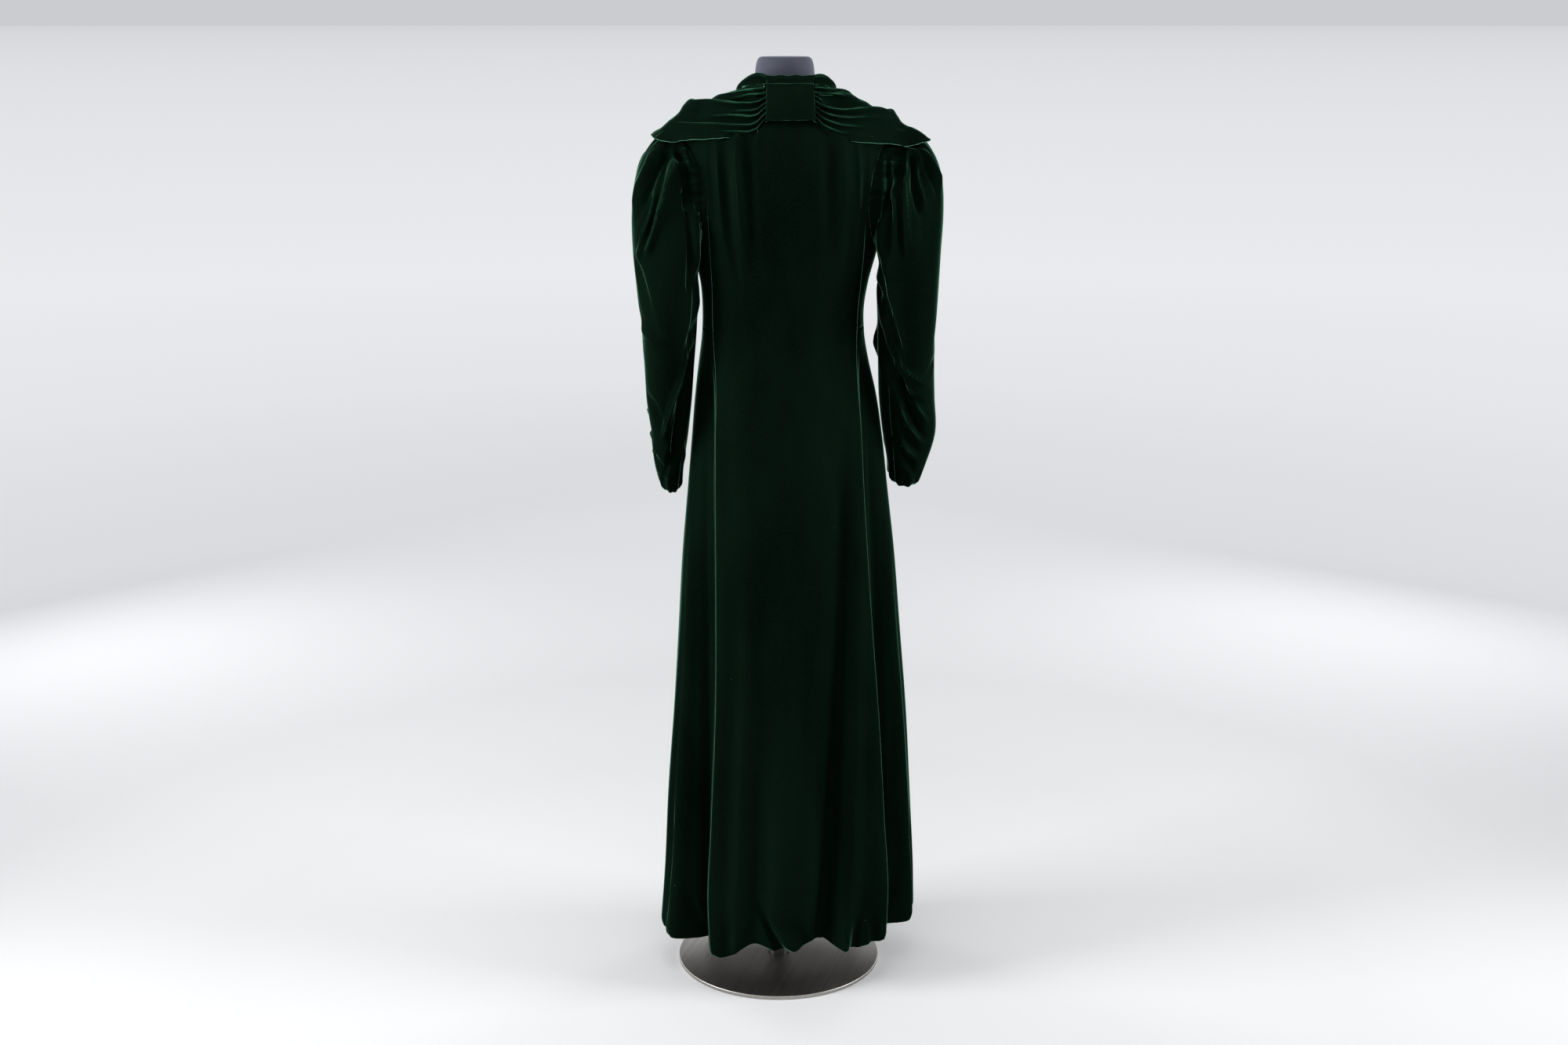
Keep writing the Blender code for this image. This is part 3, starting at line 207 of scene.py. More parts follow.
# The armhole is an ellipse in angle and height, round the side of the body.
ARMHOLE_MIDDLE = 1.334
ARMHOLE_HALF_HEIGHT = 0.096
ARMHOLE_HALF_ANGLE = 42.0
SIDE_BACK_TOP = 1.3092
WAIST = 1.118

# The front edges stand a little apart down to the hem, and open into a V above its foot.
FRONT_EDGE = 0.0003
V_FOOT = 1.335
V_TOP_WIDTH = 0.058

# Sleeve rings below the armhole: the underarm point, the outer point, then the ring's middle and its
# reach to the back and front, how far the fullness at the back tucks in towards the body, and how far
# the arm bends forward. Distances across are from the coat's centre line.
# Columns: in_x, in_z, out_x, out_z, middle, back, front, tuck, bend.
LEFT_SLEEVE = (
    (0.156, 1.236, 0.187, 1.430, 0.012, 0.074, 0.066, 0.022, 0),
    (0.155, 1.231, 0.209, 1.416, 0.014, 0.081, 0.070, 0.026, 0),
    (0.153, 1.224, 0.229, 1.388, 0.016, 0.084, 0.070, 0.028, 0),
    (0.150, 1.214, 0.241, 1.350, 0.018, 0.083, 0.068, 0.026, 0),
    (0.145, 1.198, 0.246, 1.300, 0.020, 0.079, 0.065, 0.018, 0),
    (0.142, 1.174, 0.245, 1.242, 0.022, 0.073, 0.062, 0.010, 0),
    (0.142, 1.142, 0.240, 1.184, 0.025, 0.068, 0.058, 0.004, 0),
    (0.145, 1.102, 0.235, 1.126, 0.027, 0.063, 0.054, 0.000, 4),
    (0.149, 1.056, 0.230, 1.066, 0.026, 0.057, 0.049, 0.000, 9),
    (0.153, 1.000, 0.227, 1.003, 0.017, 0.050, 0.044, 0.000, 15),
    (0.159, 0.942, 0.221, 0.942, 0.001, 0.043, 0.039, 0.000, 19),
    (0.166, 0.888, 0.215, 0.886, -0.018, 0.037, 0.034, 0.000, 21),
    (0.170, 0.848, 0.205, 0.848, -0.032, 0.032, 0.030, 0.000, 21),
)
RIGHT_SLEEVE = (
    (0.157, 1.236, 0.194, 1.430, 0.012, 0.074, 0.066, 0.022, 0),
    (0.156, 1.231, 0.223, 1.416, 0.014, 0.081, 0.070, 0.026, 0),
    (0.154, 1.224, 0.243, 1.388, 0.016, 0.084, 0.070, 0.026, 0),
    (0.152, 1.214, 0.253, 1.350, 0.018, 0.083, 0.068, 0.022, 0),
    (0.149, 1.198, 0.255, 1.300, 0.020, 0.079, 0.065, 0.016, 0),
    (0.149, 1.174, 0.252, 1.242, 0.022, 0.073, 0.062, 0.008, 0),
    (0.150, 1.142, 0.249, 1.184, 0.025, 0.068, 0.058, 0.003, 0),
    (0.151, 1.102, 0.246, 1.126, 0.027, 0.063, 0.054, 0.000, 4),
    (0.152, 1.056, 0.244, 1.066, 0.026, 0.057, 0.049, 0.000, 9),
    (0.155, 1.000, 0.247, 1.003, 0.017, 0.050, 0.044, 0.000, 15),
    (0.163, 0.942, 0.252, 0.942, 0.001, 0.044, 0.040, 0.000, 19),
    (0.173, 0.892, 0.241, 0.888, -0.018, 0.038, 0.035, 0.000, 21),
    (0.178, 0.855, 0.229, 0.851, -0.031, 0.033, 0.031, 0.000, 21),
)

# Folds of the sleeves. The angle goes round the ring from its outer point over the back; start and end
# are shares of the sleeve's length. The rows whose depth has four decimals are left out of the solids.
# Columns: angle_start, angle_end, start, end, depth, width.
LEFT_SLEEVE_FOLDS = (
    (44, 48, 0.00, 0.40, -0.010, 17),
    (62, 66, 0.00, 0.38, 0.006, 14),
    (88, 92, 0.00, 0.34, -0.006, 17),
    (-44, -52, 0.00, 0.36, -0.009, 18),
    (-84, -88, 0.00, 0.30, -0.006, 18),
    (18, 62, 0.44, 0.64, -0.007, 22),
    (162, 92, 0.54, 0.94, -0.012, 28),
    (-40, 20, 0.50, 0.68, -0.006, 24),
    (-30, 40, 0.74, 0.93, -0.005, 22),
    (100, 40, 0.84, 1.00, -0.004, 18),
    (-60, -10, 0.82, 0.98, 0.0045, 11),
    (-110, -60, 0.70, 0.88, -0.0087, 12),
    (-120, -70, 0.80, 0.98, 0.0055, 10),
    (-100, -60, 0.86, 1.00, -0.0058, 9),
    (-60, -30, 0.00, 0.30, 0.0075, 9),
    (-100, -60, 0.00, 0.32, 0.0075, 9),
    (-20, -16, 0.00, 0.22, -0.0072, 9),
)
RIGHT_SLEEVE_FOLDS = (
    (48, 22, 0.00, 0.18, -0.007, 15),
    (64, 52, 0.02, 0.28, -0.011, 16),
    (82, 84, 0.00, 0.44, 0.006, 15),
    (102, 106, 0.00, 0.40, -0.005, 17),
    (-44, -52, 0.00, 0.36, -0.009, 18),
    (-84, -88, 0.00, 0.30, -0.006, 18),
    (182, 100, 0.38, 0.72, -0.010, 26),
    (150, 66, 0.56, 0.86, -0.011, 22),
    (140, 50, 0.82, 0.98, -0.006, 20),
    (-40, 20, 0.50, 0.68, -0.006, 24),
    (-50, 6, 0.72, 0.92, -0.005, 22),
    (-110, -60, 0.70, 0.88, -0.0087, 12),
    (-120, -70, 0.80, 0.98, 0.0055, 10),
    (-100, -60, 0.86, 1.00, -0.0058, 9),
    (-60, -30, 0.00, 0.30, 0.0075, 9),
    (-100, -60, 0.00, 0.32, 0.0075, 9),
    (-20, -16, 0.00, 0.22, -0.0072, 9),
)
# The share of a sleeve's length, from the armhole down, where the velvet is turned in.
TURNED_IN = 0.30
# Places in the photograph, in its own pixels: its width, its middle row, the width of a pixel at the
# sleeves, and one column on each sleeve with its distance from the coat's centre line.
PHOTO_WIDTH = 2000
PHOTO_MIDDLE_ROW = 666.5
PIXEL_WIDTH = 0.001255
LEFT_ARM_COLUMN, LEFT_ARM_DISTANCE = 895, 0.142
RIGHT_ARM_COLUMN, RIGHT_ARM_DISTANCE = 1119, 0.149
# How far behind the stand's axis the back of the upper arm lies, and how it comes forward below the
# elbow's row: by FOREARM_SHIFT over FOREARM_ROWS.
ARM_BEHIND = 0.065
ELBOW_ROW = 420
FOREARM_ROWS = 200
FOREARM_SHIFT = 0.06
# The sleeves' creases as they show from the back: each one's height, its half width and its path, in
# columns and rows read off the photograph. The front of each sleeve takes the other's paths. A
# crease runs out over PATH_TAPER at both of its ends.
PATH_TAPER = 0.035
LEFT_SLEEVE_CREASES = (
    (0.0060, 0.0080, ((886, 172), (893, 205), (893, 300), (895, 377), (893, 412))),
    (-0.0085, 0.0095, ((866, 176), (880, 225), (885, 281), (885, 336), (884, 385))),
    (0.0050, 0.0055, ((876, 172), (887, 222), (889, 290), (890, 345))),
    (0.0085, 0.0085, ((870, 175), (863, 215), (851, 260), (838, 300), (828, 332))),
    (-0.0080, 0.0090, ((860, 188), (846, 250), (832, 292), (821, 322))),
    (0.0055, 0.0065, ((843, 233), (836, 268), (825, 305), (820, 328), (828, 344))),
    (0.0045, 0.0070, ((862, 174), (838, 200), (819, 239), (809, 281))),
    (-0.0050, 0.0065, ((864, 180), (842, 215), (826, 250), (815, 290))),
    (-0.0050, 0.0110, ((812, 392), (832, 413), (860, 424))),
    (0.0045, 0.0090, ((812, 412), (838, 430), (872, 430))),
    (0.0100, 0.0090, ((893, 410), (886, 440), (873, 475), (861, 503), (853, 535), (848, 562))),
    (-0.0130, 0.0110, ((898, 432), (891, 465), (879, 505), (869, 545), (863, 590))),
    (-0.0050, 0.0100, ((820, 492), (838, 515), (850, 545))),
    (0.0050, 0.0065, ((826, 556), (845, 577), (868, 588))),
    (-0.0050, 0.0060, ((828, 572), (846, 594), (867, 602))),
    (0.0040, 0.0055, ((834, 592), (853, 607), (872, 612))),
    (0.0040, 0.0070, ((862, 520), (872, 560), (876, 598))),
)
RIGHT_SLEEVE_CREASES = (
    (0.0070, 0.0080, (
        (1121, 184), (1118, 272), (1118, 364), (1128, 420),
        (1134, 440), (1148, 466), (1170, 483), (1190, 496),
    )),
    (-0.0130, 0.0110, ((1112, 400), (1121, 445), (1137, 482), (1160, 506), (1184, 520))),
    (-0.0060, 0.0060, ((1126, 190), (1127, 260), (1127, 345))),
    (0.0045, 0.0060, ((1130, 190), (1134, 258), (1137, 325))),
    (-0.0070, 0.0090, ((1140, 200), (1143, 270), (1148, 340))),
    (0.0080, 0.0075, ((1153, 182), (1149, 225), (1148, 272), (1151, 325))),
    (-0.0090, 0.0080, ((1158, 190), (1157, 240), (1164, 270), (1176, 280))),
    (0.0065, 0.0055, ((1165, 198), (1166, 235), (1171, 258), (1179, 268))),
    (-0.0050, 0.0060, ((1166, 188), (1176, 212), (1186, 236), (1192, 262))),
    (0.0060, 0.0075, ((1162, 180), (1180, 203), (1193, 227), (1199, 249))),
    (0.0060, 0.0075, ((1146, 478), (1165, 508), (1190, 548))),
    (-0.0080, 0.0075, ((1142, 482), (1157, 522), (1186, 563))),
    (0.0065, 0.0070, ((1143, 503), (1160, 540), (1186, 573))),
    (-0.0070, 0.0065, ((1143, 526), (1160, 559), (1181, 583))),
    (0.0055, 0.0060, ((1143, 545), (1163, 575), (1180, 592))),
    (-0.0050, 0.0055, ((1142, 566), (1158, 585), (1176, 598))),
    (0.0045, 0.0055, ((1142, 582), (1156, 598), (1174, 606))),
    (-0.0050, 0.0060, ((1196, 452), (1186, 474), (1170, 486))),
)
# Where the fullness at the back tucks in, round the ring, and how far the tuck spreads to both sides.
TUCK_ANGLE = 112
TUCK_SPREAD = (80, 62)
# Gathers of the sleeve heads: one for every GATHER_STEP degrees over the top of the armhole, with finer
# ones between them that run out sooner.
GATHER_STEP = 20
GATHER_REACH = 100
GATHER_DEPTH = 0.0026
GATHER_RUN = 0.24
FINE_GATHER_STEP = 8.5
FINE_GATHER_DEPTH = 0.0015
FINE_GATHER_RUN = 0.13
BACK_SLEEVE_SEAM = 135
FRONT_SLEEVE_SEAM = 225
CUFF_WAVES = 9
CUFF_WAVE_DEPTH = 0.0016
CUFF_TURN_IN = 0.003

# The collar. Its foot runs along the neckline from FOOT_START degrees off the centre back to the neck
# point, then down the V to FOOT_END. Each station gives where the roll and the outer edge lie, and how
# far the fall swells between them. Down the V the roll stands over the edge instead.
FOOT_START = 31
FOOT_END = 1.346
CORNER_STATION = 7
COLLAR_X = -0.013
STATION_COLUMNS = ("roll_x", "roll_y", "roll_z", "edge_x", "edge_y", "edge_z", "swell")
LEFT_COLLAR = (
    (0.036, 0.083, 1.519, 0.036, 0.099, 1.452, 0.003),
    (0.047, 0.077, 1.523, 0.059, 0.105, 1.429, 0.005),
    (0.058, 0.064, 1.521, 0.095, 0.103, 1.428, 0.007),
    (0.067, 0.046, 1.515, 0.135, 0.092, 1.427, 0.009),
    (0.073, 0.028, 1.509, 0.178, 0.070, 1.422, 0.012),
    (0.077, 0.012, 1.503, 0.205, 0.046, 1.419, 0.016),
    (0.078, -0.006, 1.497, 0.215, 0.014, 1.425, 0.018),
    (0.076, -0.022, 1.489, 0.206, -0.030, 1.412, 0.018),
    (0.072, -0.040, 1.476, 0.177, -0.075, 1.385, 0.015),
    (0.060, -0.060, 1.452, 0.142, -0.110, 1.350, 0.011),
    (0.045, -0.085, 1.415, 0.110, -0.134, 1.322, 0.008),
    (0.030, -0.112, 1.374, 0.080, -0.146, 1.302, 0.006),
    (0.015, -0.136, 1.340, 0.052, -0.150, 1.296, 0.004),
)
RIGHT_COLLAR = (
    (0.036, 0.083, 1.519, 0.036, 0.099, 1.452, 0.003),
    (0.047, 0.077, 1.521, 0.054, 0.104, 1.435, 0.005),
    (0.058, 0.064, 1.519, 0.090, 0.103, 1.422, 0.007),
    (0.067, 0.046, 1.513, 0.140, 0.090, 1.419, 0.009),
    (0.073, 0.028, 1.508, 0.182, 0.070, 1.414, 0.011),
    (0.077, 0.012, 1.502, 0.208, 0.048, 1.409, 0.013),
    (0.078, -0.006, 1.497, 0.226, 0.014, 1.412, 0.015),
    (0.076, -0.022, 1.489, 0.212, -0.030, 1.404, 0.016),
    (0.072, -0.040, 1.476, 0.180, -0.075, 1.380, 0.014),
    (0.060, -0.060, 1.452, 0.144, -0.110, 1.347, 0.011),
    (0.045, -0.085, 1.415, 0.110, -0.134, 1.320, 0.008),
    (0.030, -0.112, 1.374, 0.080, -0.146, 1.302, 0.006),
    (0.015, -0.136, 1.340, 0.052, -0.150, 1.296, 0.004),
)
ROLL_RADIUS = 0.0062
V_ROLL_RISE = 0.0110
DRAPE_GAP = 0.0050
ROLL_GAP = 0.0015
CORNER_CLEARANCE = 0.0022
COLLAR_SEAM_GAP = 0.0007
STAND_SHARE = 0.10
ROLL_SHARE = 0.16
# Larger soft folds along each wing: the share of the way from the roll to the edge, where the fold
# starts and ends along the wing, its depth and its width across.
# Columns: across_start, across_end, start, end, depth, width.
LEFT_WING_FOLDS = (
    (0.30, 0.34, 0.08, 0.62, -0.012, 0.13),
    (0.48, 0.52, 0.18, 0.70, 0.008, 0.16),
    (0.78, 0.72, 0.05, 0.40, -0.005, 0.12),
    (0.55, 0.45, 0.60, 0.98, -0.005, 0.16),
)
RIGHT_WING_FOLDS = (
    (0.34, 0.42, 0.06, 0.56, -0.012, 0.12),
    (0.56, 0.58, 0.15, 0.70, 0.007, 0.16),
    (0.18, 0.20, 0.10, 0.45, 0.005, 0.10),
    (0.55, 0.45, 0.60, 0.98, -0.005, 0.16),
)
# The ruching where a wing joins the centre piece: each ridge's share of the fall at the seam and at its
# end, the share of the wing along which it runs, its height and its width across.
# Columns: across_seam, across_end, run, height, width.
LEFT_RUCHES = (
    (0.05, 0.02, 0.22, 0.0040, 0.040),
    (0.14, 0.16, 0.34, 0.0056, 0.046),
    (0.26, 0.28, 0.48, 0.0070, 0.050),
    (0.40, 0.48, 0.66, 0.0080, 0.056),
    (0.53, 0.58, 0.30, 0.0050, 0.044),
    (0.65, 0.66, 0.42, 0.0064, 0.050),
    (0.79, 0.76, 0.56, 0.0072, 0.056),
    (0.92, 0.88, 0.24, 0.0040, 0.044),
)
RIGHT_RUCHES = (
    (0.04, 0.04, 0.26, 0.0044, 0.040),
    (0.12, 0.16, 0.54, 0.0066, 0.046),
    (0.24, 0.27, 0.42, 0.0060, 0.046),
    (0.35, 0.37, 0.22, 0.0046, 0.040),
    (0.49, 0.58, 0.68, 0.0080, 0.056),
    (0.62, 0.66, 0.44, 0.0060, 0.048),
    (0.75, 0.77, 0.36, 0.0058, 0.048),
    (0.88, 0.88, 0.26, 0.0048, 0.044),
)
# The outer edge of the wings waves a little in and out of the cloth's plane: each wave's length and its
# phase, and the height of them all for each unit of length.
EDGE_WAVES = ((0.11, 3.0), (0.047, 1.2))
EDGE_WAVE_HEIGHT = 0.012
# The trough between the ruches, as a share of their height.
RUCHE_TROUGH = 0.25
# A small fold along the roll of the centre piece: its height, its waves from side to side and its phase.
CENTRE_FOLD = (0.0011, 19, 0.8)

# The dress form's neck above the neckline.
FORM_CLEARANCE = 0.0060
FORM_HIP_CLEARANCE = 0.034
FORM_HIP_HEIGHTS = (1.14, 0.86)
FORM_FOOT = 0.018
FORM_FOOT_SHARE = 0.93
FORM_TOP = 1.476
# At the shoulders' ends, this near to the sides and between these heights, the form comes nearer to the
# cloth and carries it.
SHOULDER_CLEARANCE = 0.001
SHOULDER_TURN = 12
SHOULDER_LOW = (1.425, 1.437)
SHOULDER_HIGH = (1.460, 1.448)
# Columns: height, half_width, half_depth, middle.
FORM_NECK = (
    (1.490, 0.0520, 0.0500, 0.016),
    (1.510, 0.0480, 0.0500, 0.014),
    (1.528, 0.0465, 0.0500, 0.012),
    (1.540, 0.0440, 0.0475, 0.012),
    (1.5450, 0.0405, 0.0440, 0.012),
    (1.5465, 0.0370, 0.0405, 0.012),
)

# Grid steps of the finished surfaces: across a panel and along it.
BODY_ROW_STEP = 0.0065
HOLE_ROW_TURN = 4
HEM_ROWS = (0.0015, 0.003, 0.0045)
GORE_COLUMNS = 48
BODICE_COLUMNS = 30
PANEL_STEP = 0.0038
PANEL_RADIUS = 0.19
SLEEVE_ROWS = 170
SLEEVE_COLUMN_STEP = 1.6
WING_ROWS = 120
WING_COLUMNS = 150
WING_CROWDING = 1.2
STAND_ROWS = 6
ROLL_ROWS = 12
CENTRE_COLUMNS = 40
FORM_ROWS = 110
FORM_COLUMNS = 160
NECK_ROWS = 30
# Small steps of angle and height, or of angle and share, for the normals of the body and the sleeves.
BODY_STEPS = (-0.4, 0.002)
SLEEVE_STEPS = (-1.5, 0.01)
SHARP_EDGE = math.radians(35)

# The photograph's camera, as distances from the base plate's middle.
CAMERA_TURN = 4.0
CAMERA_PITCH = 13.89
CAMERA_DISTANCE = 3.316
CAMERA_HEIGHT = 1.605
CAMERA_ASIDE = 0.0095
CAMERA_LENS = 46.8
SENSOR = 36.0

# The floor by its distance from the middle: the paint's tone, lowest near the middle as painted shade that
# evens out the lamps' light there, and the backdrop's glow, painted light from a floor that is no lamp.
FLOOR_REACH = 500.0
FLOOR_TONES = ((1.0, 0.52), (1.6, 0.55), (2.3, 0.60), (3.3, 0.64), (10.0, 0.69), (500.0, 0.69))
BACKDROP_GLOW = (
    (1.0, 0.0), (1.6, 0.02), (2.3, 0.12), (3.3, 0.26), (6.0, 0.38), (10.0, 0.42), (30.0, 0.37), (500.0, 0.24),
)

FLOOR_RINGS = (0.4, 1.0, 2.5, 6.0, 14.0, 40.0, 120.0, 500.0)
FLOOR_STEPS = 96
FLOOR_HEIGHT = -0.0004

# The studio's lights: each one's place, what it faces, its size, its power and how wide it shines. The
# side lights shine less wide, which keeps them off the floor.
SIDE_SPREAD = math.radians(105)
STUDIO_LIGHTS = (
    ("side_left", (2.2, 0.5, 1.4), (0, 0, 0.85), (1.0, 2.0), 36, SIDE_SPREAD),
    ("side_right", (-2.2, 0.5, 1.4), (0, 0, 0.85), (1.0, 2.0), 27, SIDE_SPREAD),
    ("front_left", (1.8, -2.0, 1.5), (0, 0, 0.85), (0.9, 1.8), 24, math.pi),
    ("front_right", (-1.8, -2.0, 1.5), (0, 0, 0.85), (0.9, 1.8), 20, math.pi),
    ("overhead", (0.2, 1.0, 3.4), (0, 0, 0.8), (1.4, 1.4), 22, math.pi),
)
WORLD_COLOUR = (0.95, 0.97, 1.0, 1)
WORLD_STRENGTH = 0.62

# Colours inside the materials, and the direction of the steel's brushing.
BLACK, WHITE = (0, 0, 0), (1, 1, 1)
LINT_COLOUR = (0.05, 0.12, 0.085)
BRUSH_TURN = math.radians(-70)

# The bend of the cloth, one over its radius in metres, where the velvet's painted highlight on a crest
# begins and where it is at its full.
CREST_BEND = (160.0, 1100.0)


class CoatSizes(bpy.types.PropertyGroup):
    """Sizes of the cloth that a user may change."""

    wall: FloatProperty(
        name="Cloth", description="Thickness of the velvet with its lining",
        default=WALL, min=0.001, max=0.004, unit="LENGTH",
    )
    gather: FloatProperty(
        name="Sleeve gathers", description="Height of the gathers at the sleeve heads",
        default=GATHER_DEPTH, min=0.0, max=0.006, unit="LENGTH",
    )
    ruche: FloatProperty(
        name="Collar ruches", description="Height of the collar's ruches, as a share of the drawn one",
        default=1.0, min=0.0, max=1.5,
    )
    hem_roll: FloatProperty(
        name="Hem roll", description="How far the soft hem turns in at its edge",
        default=0.0050, min=0.0, max=0.01, unit="LENGTH",
    )
    round_steps: IntProperty(
        name="Round steps", description="Segments round the base plate and the pole",
        default=192, min=64, max=512,
    )


class CoatColours(bpy.types.PropertyGroup):
    """Colours of the coat, the form and the stand."""

    velvet: FloatVectorProperty(
        name="Velvet", description="Depth of the velvet's pile", subtype="COLOR",
        size=3, min=0, max=1, default=(0.0012, 0.0038, 0.0022),
    )
    sheen: FloatVectorProperty(
        name="Velvet sheen", description="Colour of the pile seen from the side", subtype="COLOR",
        size=3, min=0, max=1, default=(0.23, 0.60, 0.39),
    )
    # Painted highlight: the colour laid on the velvet's sharp crests stands in for the light that the pile
    # catches there.
    crest: FloatVectorProperty(
        name="Velvet crests", description="Pile parted along the sharp creases", subtype="COLOR",
        size=3, min=0, max=1, default=(0.020, 0.085, 0.048),
    )
    lining: FloatVectorProperty(
        name="Lining", description="Satin lining inside the coat", subtype="COLOR",
        size=3, min=0, max=1, default=(0.13, 0.105, 0.085),
    )
    form: FloatVectorProperty(
        name="Form cloth", description="Cloth over the dress form", subtype="COLOR",
        size=3, min=0, max=1, default=(0.036, 0.040, 0.056),
    )
    steel: FloatVectorProperty(
        name="Steel", description="Brushed steel of the base plate", subtype="COLOR",
        size=3, min=0, max=1, default=(0.40, 0.385, 0.36),
    )
    black: FloatVectorProperty(
        name="Black fittings", description="Painted pole and socket", subtype="COLOR",
        size=3, min=0, max=1, default=(0.012, 0.012, 0.013),
    )
    floor: FloatVectorProperty(
        name="Floor", description="Pale studio floor", subtype="COLOR",
        size=3, min=0, max=1, default=(0.86, 0.86, 0.87),
    )


def column(table, columns, name):
    """One named column of a table, as an array."""
    return np.array([row[columns.index(name)] for row in table], float)


def smooth(at, xs, ys):
    """A cubic Hermite curve through the points (xs, ys), flat beyond its ends. ys may be points."""
    xs = np.asarray(xs, float)
    ys = np.asarray(ys, float)
    slope = np.gradient(ys, xs, axis=0)
    at = np.clip(np.asarray(at, float), xs[0], xs[-1])
    i = np.clip(np.searchsorted(xs, at, side="right") - 1, 0, len(xs) - 2)
    width = xs[i + 1] - xs[i]
    t = (at - xs[i]) / width
    spread = t.shape + (1,) * (ys.ndim - 1)
    t, width = t.reshape(spread), width.reshape(spread)
    h = t * t * (3 - 2 * t)
    return (
        ys[i] * (1 - h) + ys[i + 1] * h
        + slope[i] * width * t * (1 - t) ** 2
        - slope[i + 1] * width * t * t * (1 - t)
    )


def along_curves(at, xs, curves):
    """One point on each of many cubic Hermite curves: curves holds a row of points for every value in xs."""
    xs = np.asarray(xs, float)
    slope = np.gradient(curves, xs, axis=0)
    at = np.clip(np.asarray(at, float), xs[0], xs[-1])
    i = np.clip(np.searchsorted(xs, at, side="right") - 1, 0, len(xs) - 2)
    width = (xs[i + 1] - xs[i])[..., None]
    t = (at - xs[i])[..., None] / width
    here = tuple(np.indices(at.shape))
    start, end = curves[(i,) + here], curves[(i + 1,) + here]
    h = t * t * (3 - 2 * t)
    return (
        start * (1 - h) + end * h + slope[(i,) + here] * width * t * (1 - t) ** 2
        - slope[(i + 1,) + here] * width * t * t * (1 - t)
    )


def ramp(at, start, end):
    """0 at start and 1 at end, by the cubic 3t^2 - 2t^3."""
    t = np.clip((at - start) / (end - start), 0, 1)
    return t * t * (3 - 2 * t)


def bump(offset, before, after):
    """1 in the middle, 0 at -before and +after, by a squared cosine."""
    reach = np.where(offset < 0, before, after)
    return np.cos(np.clip(offset / reach, -1, 1) * math.pi / 2) ** 2


def unit(vectors):
    """Each vector divided by its length."""
    return vectors / np.maximum(np.linalg.norm(vectors, axis=-1, keepdims=True), 1e-12)


def normals(surface, a, b, step_a, step_b):
    """Unit normals of a surface of two parameters: the cross product of its two central differences."""
    along = surface(a + step_a, b) - surface(a - step_a, b)
    across = surface(a, b + step_b) - surface(a, b - step_b)
    return unit(np.cross(along, across))


def grid_normals(points):
    """Unit normals of a grid of points: the cross product of its row and column differences."""
    return unit(np.cross(np.gradient(points, axis=0), np.gradient(points, axis=1)))


def ring_value(name, height):
    """One of the body ring's values at a height, by a smooth curve through the table."""
    return smooth(
        height, column(BODY_RINGS, RING_COLUMNS, "height"), column(BODY_RINGS, RING_COLUMNS, name)
    )


def bare_body(angle, height):
    """The body before its folds: superellipses |x/a|^n + |y/b|^n = 1, one for each height, with the hem
    lifted by a curve of the angle that fades out above it."""
    turn = np.radians(angle)
    power = 2 / ring_value("squareness", height)
    middle = ring_value("middle", height)
    depth = np.where(np.cos(turn) > 0, ring_value("back", height), ring_value("front", height))
    x = np.sign(np.sin(turn)) * np.abs(np.sin(turn)) ** power * ring_value("half_width", height)
    y = middle + np.abs(np.cos(turn)) ** power * (depth - middle)
    lift = smooth(
        angle, column(HEM_LIFT, HEM_LIFT_COLUMNS, "angle"), column(HEM_LIFT, HEM_LIFT_COLUMNS, "lift")
    )
    z = height + lift * (1 - ramp(height, HEM, HEM_FADE_TOP))
    return np.stack(np.broadcast_arrays(x + ring_value("centre_x", height), y, z), -1)


def angle_of(distance, height):
    """The angle at which the body's ring is that far from its centre line."""
    share = np.clip(distance / ring_value("half_width", height), 0, 1)
    return np.degrees(np.arcsin(share ** (ring_value("squareness", height) / 2)))


def back_seam_angle(side, height):
    """The angle of the back panel's seam at a height."""
    distance = smooth(
        height, column(BACK_SEAM, BACK_SEAM_COLUMNS, "height"), column(BACK_SEAM, BACK_SEAM_COLUMNS, side)
    )
    return angle_of(distance, height)


def body_fold_depth(angle, height, folds):
    """The sum of the folds: each is its depth times a squared cosine across it, faded at both ends."""
    total = np.zeros(np.broadcast(angle, height).shape)
    for side, at_seam, angle_top, angle_low, top, low, depth_top, depth_low, before, after in folds:
        sign = 1 if side == "left" else -1
        share = np.clip((top - height) / (top - low), 0, 1)
        middle = angle_top + (angle_low - angle_top) * share
        if at_seam:
            middle = middle + back_seam_angle(side, height)
        fade = min(FOLD_FADE, 0.6 * (top - low))
        depth = (depth_top + (depth_low - depth_top) * share) * ramp(height, top, top - fade)
        if low > HEM:
            depth = depth * ramp(height, low, low + fade)
        total = total + depth * bump(sign * angle - middle, before, after)
    return total


def drape_waves(angle, height):
    """Slow unevenness of hanging cloth: a sum of three sines of the angle and the height."""
    turn = np.radians(angle)
    size = WAVE_SHARE + (1 - WAVE_SHARE) * ramp(height, *WAVE_HEIGHTS)
    return size * sum(
        depth * np.sin(turns * turn + climb * height + phase) for depth, turns, climb, phase in DRAPE_WAVES
    )


def body(angle, height):
    """The coat's outer surface: the bare body, moved along its normal by folds, creases, waves and the
    hem's roll."""
    out = normals(bare_body, angle, height, *BODY_STEPS)
    depth = body_fold_depth(angle, height, BODY_FOLDS) + body_fold_depth(angle, height, BODY_CREASES)
    depth = depth + drape_waves(angle, height)
    roll = 1 - ramp(height, HEM - HEM_ROLL_BELOW, HEM + HEM_ROLL_ABOVE)
    roll = bpy.context.scene.coat_sizes.hem_roll * roll
    return bare_body(angle, height) + out * (depth - roll)[..., None]


def plain_body(angle, height):
    """The body with its large folds alone, which the armhole and the neck edge follow."""
    out = normals(bare_body, angle, height, *BODY_STEPS)
    return bare_body(angle, height) + out * body_fold_depth(angle, height, BODY_FOLDS)[..., None]


def body_normals(angle, height, surface=body):
    """Unit normals of one of the body's surfaces."""
    return normals(surface, angle, height, *BODY_STEPS)


